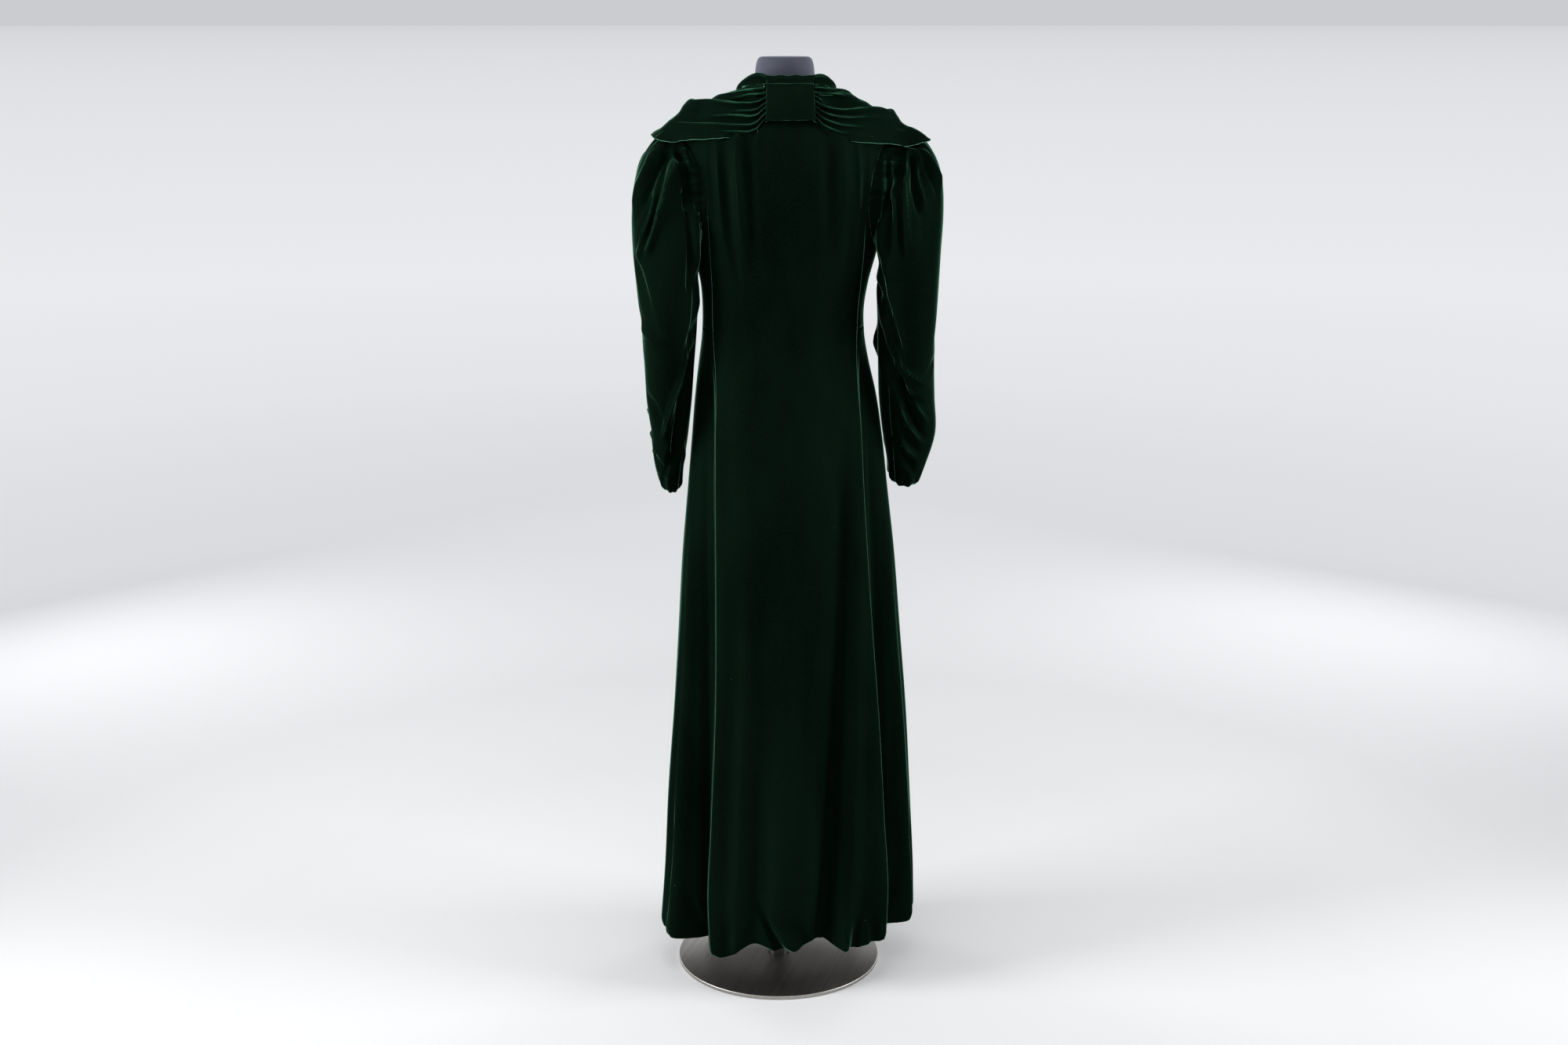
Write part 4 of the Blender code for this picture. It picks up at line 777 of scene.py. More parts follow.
def armhole_angle(height):
    """Half the angle that the armhole takes out at a height: an ellipse."""
    share = np.clip((height - ARMHOLE_MIDDLE) / ARMHOLE_HALF_HEIGHT, -1, 1)
    return ARMHOLE_HALF_ANGLE * np.sqrt(1 - share**2)


def front_edge_angle(height):
    """The front edge: beside the centre line, then up the V to the neck point."""
    rise = np.clip((height - V_FOOT) / (NECKLINE - V_FOOT), 0, 1)
    return 180 - angle_of(FRONT_EDGE + (V_TOP_WIDTH - FRONT_EDGE) * rise, height)


def body_heights(low, high):
    """Heights of a panel's rows: even steps, and beside the armhole even turns of its ellipse."""
    count = max(2, int(round((high - low) / BODY_ROW_STEP)))
    turn = np.radians(np.arange(0, 181, HOLE_ROW_TURN))
    hole = ARMHOLE_MIDDLE + ARMHOLE_HALF_HEIGHT * np.cos(turn)
    even = np.linspace(low, high, count + 1)
    inside = (even > hole.min() - 0.002) & (even < hole.max() + 0.002)
    hem = HEM + np.array(HEM_ROWS) if low == HEM else np.array([])
    hole = hole[(hole > low + 0.001) & (hole < high - 0.001)]
    return np.unique(np.round(np.concatenate([even[~inside], hole, [low, high], hem]), 5))


def body_frame(angle, height, surface=body):
    """Points of the coat's surface with their normals and their directions round and up it."""
    points = surface(angle, height)
    out = body_normals(angle, height, surface)
    round_way = surface(angle + 0.3, height) - surface(angle - 0.3, height)
    round_way = unit(round_way - out * (round_way * out).sum(-1, keepdims=True))
    return points, out, round_way, unit(np.cross(round_way, out))


def linked(name, points, faces, materials, face_slots=None):
    """One object from numpy points and faces (triangles or quads), its place in its mesh."""
    mesh = bpy.data.meshes.new(name)
    points = np.asarray(points, np.float32)
    faces = np.asarray(faces, np.int32)
    mesh.vertices.add(len(points))
    mesh.vertices.foreach_set("co", points.ravel())
    mesh.loops.add(faces.size)
    mesh.loops.foreach_set("vertex_index", faces.ravel())
    mesh.polygons.add(len(faces))
    mesh.polygons.foreach_set("loop_start", np.arange(0, faces.size, faces.shape[1], dtype=np.int32))
    if face_slots is not None:
        mesh.polygons.foreach_set("material_index", np.asarray(face_slots, np.int32))
    mesh.update(calc_edges=True)
    for material in materials:
        mesh.materials.append(material)
    mesh.validate()
    mesh.shade_smooth()
    made = bpy.data.objects.new(name, mesh)
    bpy.context.scene.collection.objects.link(made)
    return made


def crest_of(points, out):
    """How sharply a grid of points bends at each point: its height over the mean of its neighbours two
    steps away, over their distance squared, taken both ways and ramped from -1 in a trough to 1 on a
    crest."""
    total = np.zeros(points.shape[:2])
    for axis in (0, 1):
        padded = np.pad(points, [(2, 2) if k == axis else (0, 0) for k in range(3)], "edge")
        count = points.shape[axis]
        ahead = padded.take(np.arange(4, count + 4), axis)
        behind = padded.take(np.arange(count), axis)
        span = ((ahead - behind) ** 2).sum(-1) / 4
        bend = ((points - (ahead + behind) / 2) * out).sum(-1) * 2 / np.maximum(span, 1e-7)
        cut = [slice(None)] * 2
        for end in (slice(0, 2), slice(count - 2, count)):
            cut[axis] = end
            bend[tuple(cut)] = 0
        total = total + bend
    return ramp(total, CREST_BEND[0], CREST_BEND[1]) - ramp(-total, CREST_BEND[0], CREST_BEND[1])


def shell(name, outer, out, materials, turned_rows=0):
    """A closed thin shell: a grid of outer points, the same points less their normals times the
    thickness, and a rim of quads round both. The inside takes the second material, if there is one, past
    the first turned_rows rows, where the velvet is turned in."""
    thickness = bpy.context.scene.coat_sizes.wall
    rows, columns = outer.shape[:2]
    inner = outer - out * thickness
    points = np.concatenate([outer.reshape(-1, 3), inner.reshape(-1, 3)])
    index = np.arange(rows * columns).reshape(rows, columns)
    front = np.stack([index[:-1, :-1], index[:-1, 1:], index[1:, 1:], index[1:, :-1]], -1).reshape(-1, 4)
    far = rows * columns
    loop = np.concatenate([index[0, :-1], index[:-1, -1], index[-1, :0:-1], index[:0:-1, 0]])
    after = np.roll(loop, -1)
    rim = np.stack([loop, loop + far, after + far, after], -1)
    facing = (np.cross(outer[1, 0] - outer[0, 0], outer[0, 1] - outer[0, 0]) * out[0, 0]).sum()
    quads = np.concatenate([front, front[:, ::-1] + far, rim])
    if facing > 0:
        quads = quads[:, ::-1]
    inside = np.full(len(front), len(materials) - 1)
    inside[:turned_rows * (columns - 1)] = 0
    slots = np.concatenate([np.zeros(len(front)), inside, np.zeros(len(rim))])
    made = linked(name, points, quads, materials, slots)
    # The bend at each outer point, kept to place the velvet's painted crest highlight.
    crest = made.data.attributes.new("crest", "FLOAT", "POINT")
    crest.data.foreach_set("value", np.concatenate([crest_of(outer, out).ravel(), np.zeros(far)]))
    return made


def cut_piece(made, node):
    """Hangs a cloth piece on the root's empty and hides the solid that it stands for."""
    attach(made, "root")
    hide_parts(node)


def body_panel(node, first, last, low, high, materials, across=None):
    """A panel between two edges: the body's surface on a grid of angle shares and heights, with its seam
    edges drawn in by half the seam gap."""
    heights = body_heights(low, high)
    left, right = first(heights)[:, None], last(heights)[:, None]
    middle = np.linspace(low, high, 9)
    widest = np.abs(last(middle) - first(middle)).max()
    columns = across or max(12, int(math.radians(widest) * PANEL_RADIUS / PANEL_STEP))
    share = np.linspace(0, 1, columns + 1)
    angles = left + (right - left) * share
    points, out, round_way, up = body_frame(angles, np.repeat(heights[:, None], columns + 1, 1))
    sense = np.sign(right - left).mean()
    half = SEAM_GAP / 2
    points[:, 0] += round_way[:, 0] * sense * half
    points[:, -1] -= round_way[:, -1] * sense * half
    if low > HEM:
        points[0] += up[0] * half
    if high < SIDE_BACK_TOP:
        points[-1] -= up[-1] * half
    made = shell(node + "_cloth", points, out, materials)
    cut_piece(made, node)


def back_edge(side, height):
    """The back panel's edge: its seam up to the armhole, then the armhole, then the shoulder seam."""
    hole = 90 - armhole_angle(height)
    seam = np.minimum(back_seam_angle(side, height), hole - 0.4)
    return np.where(height < SIDE_BACK_TOP + 1e-5, seam, hole)


def make_body(materials):
    """The back, the side gores, the side bodices and the fronts."""
    body_panel(
        "back_panel", lambda h: -back_edge("right", h), lambda h: back_edge("left", h),
        HEM, NECKLINE, materials,
    )
    for side, sign in (("left", 1), ("right", -1)):
        edges = (
            lambda h, side=side, sign=sign: sign * back_edge(side, h),
            lambda h, sign=sign: sign * (90 - armhole_angle(h)),
        )
        body_panel("side_skirt_" + side, *edges, HEM, WAIST, materials, GORE_COLUMNS)
        body_panel("side_bodice_" + side, *edges, WAIST, SIDE_BACK_TOP, materials, BODICE_COLUMNS)
        body_panel(
            "front_" + side, lambda h, sign=sign: sign * (90 + armhole_angle(h)),
            lambda h, sign=sign: sign * front_edge_angle(h), HEM, NECKLINE, materials,
        )


def armhole_points(side, angle):
    """The armhole's ellipse on the body, on the wearer's left."""
    sign = 1 if side == "left" else -1
    turn = np.radians(angle)
    at = 90 - ARMHOLE_HALF_ANGLE * np.sin(turn)
    height = ARMHOLE_MIDDLE + ARMHOLE_HALF_HEIGHT * np.cos(turn)
    points = body(sign * at, height)
    return (points - (CENTRE_X, 0, 0)) * (sign, 1, 1)


def sleeve_paths(side):
    """One sleeve's creases with their paths as distances from the coat's centre line and heights, to the
    millimetre. A column counts by the width of a pixel, and a row by the camera's ray, which meets the
    back of the sleeve."""
    creases = LEFT_SLEEVE_CREASES if side == "left" else RIGHT_SLEEVE_CREASES
    outward = -1 if side == "left" else 1
    column_known = LEFT_ARM_COLUMN if side == "left" else RIGHT_ARM_COLUMN
    distance_known = LEFT_ARM_DISTANCE if side == "left" else RIGHT_ARM_DISTANCE
    lens = CAMERA_LENS / SENSOR * PHOTO_WIDTH
    paths = []
    for height, width, places in creases:
        path = []
        for pixel_column, pixel_row in places:
            behind = ARM_BEHIND - max(0, pixel_row - ELBOW_ROW) / FOREARM_ROWS * FOREARM_SHIFT
            dip = math.radians(CAMERA_PITCH) + math.atan((pixel_row - PHOTO_MIDDLE_ROW) / lens)
            x = distance_known + outward * (pixel_column - column_known) * PIXEL_WIDTH
            z = CAMERA_HEIGHT - (CAMERA_DISTANCE - behind) * math.tan(dip)
            path.append((round(x, 3), round(z, 3)))
        paths.append((height, width, path))
    return paths


def path_depth(x, z, paths):
    """The height of creases placed one by one: each is a squared cosine of the distance from its path, which
    runs out towards both of the path's ends."""
    total = np.zeros(x.shape)
    for height, width, path in paths:
        corners = np.array(path)
        steps = np.diff(corners, axis=0)
        lengths = np.hypot(steps[:, 0], steps[:, 1])
        nearest, along = np.full(x.shape, np.inf), np.zeros(x.shape)
        done = 0.0
        for corner, step, length in zip(corners, steps, lengths):
            share = ((x - corner[0]) * step[0] + (z - corner[1]) * step[1]) / length ** 2
            share = np.clip(share, 0, 1)
            away = np.hypot(x - corner[0] - step[0] * share, z - corner[1] - step[1] * share)
            along = np.where(away < nearest, done + share * length, along)
            nearest = np.minimum(away, nearest)
            done += length
        ends = ramp(along, 0, PATH_TAPER) * ramp(done - along, 0, PATH_TAPER)
        total = total + height * ends * bump(nearest, width, width)
    return total


def sleeve_surface(side, gathered=True, fine=True):
    """The sleeve's surface, of the angle round it and the share of its length: cubic curves through the
    armhole and the table's tilted rings, moved along the normal by gathers and folds."""
    sign = 1 if side == "left" else -1
    table = LEFT_SLEEVE if side == "left" else RIGHT_SLEEVE
    folds = LEFT_SLEEVE_FOLDS if side == "left" else RIGHT_SLEEVE_FOLDS
    own, other = sleeve_paths(side), sleeve_paths("right" if side == "left" else "left")
    shares = np.linspace(0, 1, len(table) + 1)
    depth_of_gather = bpy.context.scene.coat_sizes.gather

    def ring(row, angle):
        in_x, in_z, out_x, out_z, middle, back, front, tuck, bend = row
        turn = np.radians(angle)
        lean = math.radians(bend)
        reach = np.where(np.sin(turn) > 0, back, front) * np.sin(turn)
        x = (in_x + out_x) / 2 + (out_x - in_x) / 2 * np.cos(turn)
        x = x - tuck * bump((angle + 180) % 360 - 180 - TUCK_ANGLE, *TUCK_SPREAD)
        z = (in_z + out_z) / 2 + (out_z - in_z) / 2 * np.cos(turn) - reach * math.sin(lean)
        return np.stack([x, middle + reach * math.cos(lean), z], -1)

    def bare(angle, share):
        angle, share = np.broadcast_arrays(np.asarray(angle, float), np.asarray(share, float))
        rings = np.stack([armhole_points(side, angle)] + [ring(row, angle) for row in table])
        return along_curves(share, shares, rings)

    def fold_depth(angle, share):
        near = (angle + 180) % 360 - 180
        opened = ramp(share, 0, 0.04) * (1 - ramp(share, 0.05, GATHER_RUN))
        opened = opened * ramp(np.abs(near), GATHER_REACH, GATHER_REACH - 20)
        wave = np.cos(2 * math.pi * near / GATHER_STEP) if gathered else 1
        total = depth_of_gather * wave * opened
        if fine:
            run = FINE_GATHER_RUN * (0.75 + 0.25 * np.cos(near * 0.21 + 1.0))
            opened = ramp(share, 0, 0.02) * (1 - ramp(share, 0.02, run))
            opened = opened * ramp(np.abs(near), GATHER_REACH + 10, GATHER_REACH - 10)
            total = total + FINE_GATHER_DEPTH * np.cos(2 * math.pi * near / FINE_GATHER_STEP + 0.7) * opened
            cuff = ramp(share, 0.90, 1.0)
            total = total + CUFF_WAVE_DEPTH * np.cos(np.radians(near) * CUFF_WAVES + 0.5) * cuff
            total = total - CUFF_TURN_IN * ramp(share, 0.985, 1.0)
        for angle_start, angle_end, start, end, depth, width in folds:
            run = np.clip((share - start) / (end - start), 0, 1)
            middle = angle_start + (angle_end - angle_start) * run
            offset = (angle - middle + 180) % 360 - 180
            opened = ramp(share, start, start + 0.07) * ramp(share, end, end - 0.10)
            total = total + depth * opened * bump(offset, width, width)
        return total

    def full(angle, share):
        out = normals(bare, angle, share, *SLEEVE_STEPS)
        points = bare(angle, share)
        depth = fold_depth(angle, share)
        if fine:
            toward = np.sin(np.radians(angle)) * np.ones_like(share)
            behind = path_depth(points[..., 0], points[..., 2], own)
            ahead = path_depth(points[..., 0], points[..., 2], other)
            placed = np.where(toward > 0, behind, ahead) * ramp(np.abs(toward), 0.06, 0.42)
            depth = depth + placed * ramp(share, 0, 0.03)
        points = points + out * depth[..., None]
        return points * (sign, 1, 1) + (CENTRE_X, 0, 0)

    return full, sign


def make_sleeves(materials):
    """Each sleeve's upper and under piece: the sleeve's surface on a grid of angles and length shares."""
    for side in ("left", "right"):
        surface, sign = sleeve_surface(side)
        shares = np.linspace(0, 1, SLEEVE_ROWS + 1)[:, None]
        for part, first, last in (
            ("upper", FRONT_SLEEVE_SEAM - 360, BACK_SLEEVE_SEAM),
            ("under", BACK_SLEEVE_SEAM, FRONT_SLEEVE_SEAM),
        ):
            count = int((last - first) / SLEEVE_COLUMN_STEP)
            angle, share = np.broadcast_arrays(np.linspace(first, last, count + 1)[None, :], shares)
            outer = surface(angle, share)
            out = normals(surface, angle, share, -0.8, 0.004) * sign
            outer[0] += unit(outer[1] - outer[0]) * ARMHOLE_GAP
            round_way = unit(surface(angle + 0.5, share) - surface(angle - 0.5, share))
            outer[:, 0] += round_way[:, 0] * SEAM_GAP / 2
            outer[:, -1] -= round_way[:, -1] * SEAM_GAP / 2
            node = f"sleeve_{part}_{side}"
            made = shell(node + "_cloth", outer, out, materials, int(SLEEVE_ROWS * TURNED_IN))
            cut_piece(made, node)


def collar_foot(side, along):
    """The neck edge at shares of the wing's length, with the cloth's normal and the way past the edge."""
    sign = 1 if side == "left" else -1
    corner = CORNER_STATION / (len(LEFT_COLLAR) - 1)
    corner_angle = front_edge_angle(NECKLINE)
    heights = np.interp(along, (0, corner, 1), (NECKLINE, NECKLINE, FOOT_END))
    angles = np.where(
        along <= corner, np.interp(along, (0, corner), (FOOT_START, corner_angle)), front_edge_angle(heights)
    )
    points, out, round_way, up = body_frame(sign * angles, heights, plain_body)
    ahead = np.gradient(points, axis=0)
    past = np.cross(out, ahead) * -sign
    past = unit(past - out * (past * out).sum(-1, keepdims=True))
    mirror = (sign, 1, 1)
    return (points - (COLLAR_X, 0, 0)) * mirror, out * mirror, past * mirror


def wing_surface(side, along, across):
    """The wing before its folds: a straight stand, a half round roll and a fall that swells by a sine."""
    table = LEFT_COLLAR if side == "left" else RIGHT_COLLAR
    stations = np.arange(len(table))
    at = along * (len(table) - 1)
    value = {name: smooth(at, stations, column(table, STATION_COLUMNS, name)) for name in STATION_COLUMNS}
    foot, out, past = collar_foot(side, along)
    lapel = ramp(at, CORNER_STATION - 0.5, CORNER_STATION + 1.5)[:, None]
    under = foot - out * WALL + past * COLLAR_SEAM_GAP
    foot = under + (foot + out * COLLAR_SEAM_GAP - under) * lapel
    foot = foot + (out + past) * (4 * lapel * (1 - lapel) * CORNER_CLEARANCE)
    roll = np.stack([value["roll_x"], value["roll_y"], value["roll_z"]], -1)
    roll = roll * (1 - lapel) + (foot + out * V_ROLL_RISE - past * ROLL_RADIUS) * lapel
    edge = np.stack([value["edge_x"], value["edge_y"], value["edge_z"]], -1)
    rise = unit(roll - foot)
    away = edge - roll
    away = unit(away - rise * (away * rise).sum(-1, keepdims=True)) * (1 - lapel) - past * lapel
    away = unit(away - rise * (away * rise).sum(-1, keepdims=True))
    axis = roll - rise * ROLL_RADIUS
    fall_out = np.cross(edge - axis, np.cross(away, rise))
    fall_out = unit(fall_out * np.sign((fall_out * (rise + away)).sum(-1, keepdims=True)))
    foot, rise, away, axis, edge, fall_out = (a[:, None, :] for a in (foot, rise, away, axis, edge, fall_out))
    level = across[None, :, None]
    up = np.clip(level / STAND_SHARE, 0, 1)
    turn = np.clip((level - STAND_SHARE) / (ROLL_SHARE - STAND_SHARE), 0, 1) * math.pi
    down = np.clip((level - ROLL_SHARE) / (1 - ROLL_SHARE), 0, 1)
    stand_points = foot + (axis - away * ROLL_RADIUS - foot) * up
    roll_points = axis - away * ROLL_RADIUS * np.cos(turn) + rise * ROLL_RADIUS * np.sin(turn)
    start = axis + away * ROLL_RADIUS
    swell = value["swell"][:, None, None] * np.sin(math.pi * down ** 0.85)
    fall_points = start + (edge - start) * down + fall_out * swell
    return np.where(level < STAND_SHARE, stand_points, np.where(level < ROLL_SHARE, roll_points, fall_points))


def wing_folds(side, along, across):
    """The height of a wing's large folds above its plain surface."""
    fall = np.clip((across - ROLL_SHARE) / (1 - ROLL_SHARE), 0, 1)
    total = np.zeros(np.broadcast(along, across).shape)
    for across_start, across_end, start, end, deep, width in (
        LEFT_WING_FOLDS if side == "left" else RIGHT_WING_FOLDS
    ):
        run = np.clip((along - start) / (end - start), 0, 1)
        middle = across_start + (across_end - across_start) * run
        opened = ramp(along, start, start + 0.15) * ramp(along, end, end - 0.20)
        total = total + deep * opened * bump(fall - middle, width, width)
    return total


def wing_ruches(side, along, across):
    """The height of the ruches: narrow ridges that start at the seam, fan out and fade, each a squared
    cosine across, less a shallow trough between them, with waves of the outer edge."""
    fall = np.clip((across - ROLL_SHARE) / (1 - ROLL_SHARE), 0, 1)
    gain = bpy.context.scene.coat_sizes.ruche
    total = np.zeros(np.broadcast(along, across).shape)
    for across_seam, across_end, reach, height, width in (LEFT_RUCHES if side == "left" else RIGHT_RUCHES):
        run = np.clip(along / reach, 0, 1)
        middle = across_seam + (across_end - across_seam) * run
        opened = ramp(along, 0, 0.012) * (1 - ramp(along, 0.25 * reach, reach))
        spread = width * (0.8 + 0.6 * run)
        total = total + gain * height * opened * (bump(fall - middle, spread, spread) - RUCHE_TROUGH)
    total = total * ramp(across, (STAND_SHARE + ROLL_SHARE) / 2, ROLL_SHARE + 0.03)
    edge = ramp(fall, 0.82, 1.0)
    wave = sum(length * np.sin(2 * math.pi * along / length + phase) for length, phase in EDGE_WAVES)
    return total + EDGE_WAVE_HEIGHT * wave * edge * ramp(along, 0, 0.06)


def drape_cloud():
    """Points and normals of what the collar lies on: the body's shoulders and the sleeve heads."""
    angle, height = np.meshgrid(np.arange(-180, 181, 2.5), np.arange(1.20, NECKLINE, 0.005), indexing="ij")
    clouds = [(plain_body(angle, height), body_normals(angle, height, plain_body))]
    for side in ("left", "right"):
        surface, sign = sleeve_surface(side, gathered=False, fine=False)
        angle, share = np.meshgrid(np.arange(-180, 180, 4.0), np.linspace(0.02, 0.4, 30), indexing="ij")
        clouds.append((surface(angle, share), normals(surface, angle, share, *SLEEVE_STEPS) * sign))
    return tuple(np.concatenate([cloud[k].reshape(-1, 3) for cloud in clouds]) for k in (0, 1))


def resting(points, cloud, clear):
    """The points, with those nearer to the cloud's surface than clear moved out to it along the nearest
    cloud point's normal."""
    on, out = cloud
    flat = points.reshape(-1, 3).copy()
    clear = np.broadcast_to(clear, points.shape[:-1]).ravel()
    for _ in range(3):
        for start in range(0, len(flat), 200):
            block = flat[start:start + 200]
            near = ((block[:, None] - on[None]) ** 2).sum(-1).argmin(1)
            short = clear[start:start + 200] - ((block - on[near]) * out[near]).sum(-1)
            flat[start:start + 200] = block + out[near] * np.clip(short, 0, 0.05)[:, None]
    return flat.reshape(points.shape)


def collar_levels(stand, roll, fall):
    """Shares across the collar: up the stand, over the roll and down the fall to the edge."""
    return np.concatenate([
        np.linspace(0, STAND_SHARE, stand + 1),
        np.linspace(STAND_SHARE, ROLL_SHARE, roll + 1)[1:],
        np.linspace(ROLL_SHARE, 1, fall + 1)[1:],
    ])


def draped_wing(side, along, across, cloud):
    """A wing with its large folds, laid on the shoulders on a coarse grid, then drawn through smooth
    curves both ways, so that the finished surface has no steps."""
    corner = CORNER_STATION / (len(LEFT_COLLAR) - 1)
    few_along = np.concatenate([
        np.linspace(0, 1, 13) ** 1.25 * corner, np.linspace(corner, 1, 9)[1:],
    ])
    few_across = collar_levels(2, 4, 16)
    points = wing_surface(side, few_along, few_across)
    folds = wing_folds(side, few_along[:, None], few_across[None, :])
    points = points + grid_normals(points) * folds[..., None]
    sign = 1 if side == "left" else -1
    points = points * (sign, 1, 1) + (COLLAR_X, 0, 0)
    fall = few_across > STAND_SHARE + (ROLL_SHARE - STAND_SHARE) * 0.7
    clear = WALL + ROLL_GAP + (DRAPE_GAP - ROLL_GAP) * ramp(few_across[fall], ROLL_SHARE, ROLL_SHARE + 0.15)
    points[:, fall] = resting(points[:, fall], cloud, clear)
    points = smooth(along, few_along, points)
    return smooth(across, few_across, points.swapaxes(0, 1)).swapaxes(0, 1)


def make_collar(materials):
    """The collar's wings and its centre piece, which is stretched straight between their seams."""
    cloud = drape_cloud()
    across = collar_levels(STAND_ROWS, ROLL_ROWS, WING_ROWS - STAND_ROWS - ROLL_ROWS)
    along = np.linspace(0, 1, WING_COLUMNS + 1) ** WING_CROWDING
    seams = {}
    for side in ("left", "right"):
        sign = 1 if side == "left" else -1
        points = draped_wing(side, along, across, cloud)
        out = grid_normals(points) * sign
        ruches = wing_ruches(side, along[:, None], across[None, :])
        lapel = ramp(along * (len(LEFT_COLLAR) - 1), CORNER_STATION - 0.5, CORNER_STATION + 1.5)[:, None]
        points = points + out * ruches[..., None]
        out = grid_normals(points) * sign
        foot, foot_out, past = collar_foot(side, along)
        out[:, 0] = unit(past * lapel - foot_out * (1 - lapel)) * (sign, 1, 1)
        out[0, 1:] = unit(out[0, 1:] * (0, 1, 1))
        seams[side] = (points[0].copy(), out[0].copy())
        points[0] += (sign * SEAM_GAP / 2, 0, 0)
        made = shell(f"collar_wing_{side}_cloth", points, out, materials)
        cut_piece(made, "collar_wing_" + side)
    (left, left_out), (right, right_out) = seams["left"], seams["right"]
    share = np.linspace(0, 1, CENTRE_COLUMNS + 1)[:, None, None]
    points = right + (left - right) * share
    out = unit(right_out + (left_out - right_out) * share)
    nape = plain_body(FOOT_START * (2 * share[:, 0, 0] - 1), np.full(len(share), NECKLINE))[:, 1]
    bow = nape - nape[0] - (nape[-1] - nape[0]) * share[:, 0, 0]
    kept = 1 - 0.5 * ramp(across, 0, STAND_SHARE)
    points[..., 1] += bow[:, None] * kept[None, :]
    ridge = bump(across - (STAND_SHARE + ROLL_SHARE) / 2, 0.05, 0.09)[None, :]
    open_ends = np.sin(math.pi * share[..., 0]) ** 0.5
    height, waves, phase = CENTRE_FOLD
    points[..., 2] += height * np.sin(share[..., 0] * waves + phase) * ridge * open_ends
    points[0] += (SEAM_GAP / 2, 0, 0)
    points[-1] -= (SEAM_GAP / 2, 0, 0)
    made = shell("collar_centre_cloth", points, out, materials)
    cut_piece(made, "collar_centre")


def closed_round(name, rings, low, high, material, clockwise=False):
    """A closed piece of triangles: rings of points joined row by row, with a fan to a point at each end."""
    count, steps = rings.shape[:2]
    index = np.arange(count * steps).reshape(count, steps)
    after = np.roll(index, -1, 1)
    sides = np.stack([index[:-1], after[:-1], after[1:], index[1:]], -1).reshape(-1, 4)
    foot = np.stack([np.full(steps, count * steps), after[0], index[0]], -1)
    top = np.stack([np.full(steps, count * steps + 1), index[-1], after[-1]], -1)
    faces = np.concatenate([sides[:, [0, 1, 2]], sides[:, [0, 2, 3]], foot, top])
    if clockwise:
        faces = faces[:, ::-1]
    return linked(name, np.concatenate([rings.reshape(-1, 3), [low, high]]), faces, [material])


def turned(name, profile, steps, material):
    """A round piece about the stand's axis: a profile of (radius, height) points that starts and ends on
    the axis."""
    turn = np.linspace(0, 2 * math.pi, steps, endpoint=False)
    rings = swept(profile[1:-1], turn).swapaxes(0, 1)
    made = closed_round(name, rings, (0, 0, profile[0][1]), (0, 0, profile[-1][1]), material)
    made.data.set_sharp_from_angle(angle=SHARP_EDGE)
    return made


def ring_of(name, rings, material):
    """A closed tube through rings of points, joined round both ways."""
    count, steps = rings.shape[:2]
    index = np.arange(count * steps).reshape(count, steps)
    down, along = np.roll(index, -1, 0), np.roll(index, -1, 1)
    both = np.roll(down, -1, 1)
    quads = np.stack([index, down, both, along], -1).reshape(-1, 4)
    made = linked(name, rings.reshape(-1, 3), quads, [material])
    made.data.set_sharp_from_angle(angle=SHARP_EDGE)
    return made


def make_form(material):
    """The dress form: the body's rings less a clearance, blended up into the neck's ellipses, with a soft
    edge at the top, closed by its poles."""
    angles = np.linspace(-180, 180, FORM_COLUMNS + 1)[:-1]
    start = FORM_BOX[0][2]
    heights = np.concatenate([[start], np.linspace(start + FORM_FOOT, FORM_TOP, FORM_ROWS)])
    level = np.repeat(heights[:, None], len(angles), 1)
    near = bump(np.abs(angles) - 90, SHOULDER_TURN, SHOULDER_TURN)
    near = near * ramp(level, *SHOULDER_LOW) * ramp(level, *SHOULDER_HIGH)
    clear = WALL + FORM_CLEARANCE + (SHOULDER_CLEARANCE - FORM_CLEARANCE) * near
    clear = clear + FORM_HIP_CLEARANCE * ramp(level, *FORM_HIP_HEIGHTS)
    spread = np.repeat(angles[None, :], len(heights), 0)
    out = normals(bare_body, spread, level, *BODY_STEPS)
    rings = bare_body(spread, level) - out * clear[..., None]
    rings[..., 2] = np.where(level < WAIST, level, rings[..., 2])
    rings[0] = rings[0] * (FORM_FOOT_SHARE, FORM_FOOT_SHARE, 1)
    turn = np.radians(angles)
    rows = np.linspace(0, len(FORM_NECK) - 1, NECK_ROWS)
    neck = smooth(rows, np.arange(len(FORM_NECK)), np.array(FORM_NECK))
    x = CENTRE_X + neck[:, 1, None] * np.sin(turn)
    y = neck[:, 3, None] + neck[:, 2, None] * np.cos(turn)
    rings = np.concatenate([rings, np.stack([x, y, np.broadcast_to(neck[:, 0, None], x.shape)], -1)])
    low, high = rings[0].mean(0), rings[-1].mean(0)
    made = closed_round("form_torso_cover", rings, low, high, material, clockwise=True)
    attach(made, "root")
    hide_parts("form_torso")


def arc(radius, height, bend, start, end, steps=6):
    """Points of an arc in (radius, height), about a middle, between two turns in degrees."""
    turn = np.radians(np.linspace(start, end, steps))
    return [(radius + bend * math.cos(t), height + bend * math.sin(t)) for t in turn]


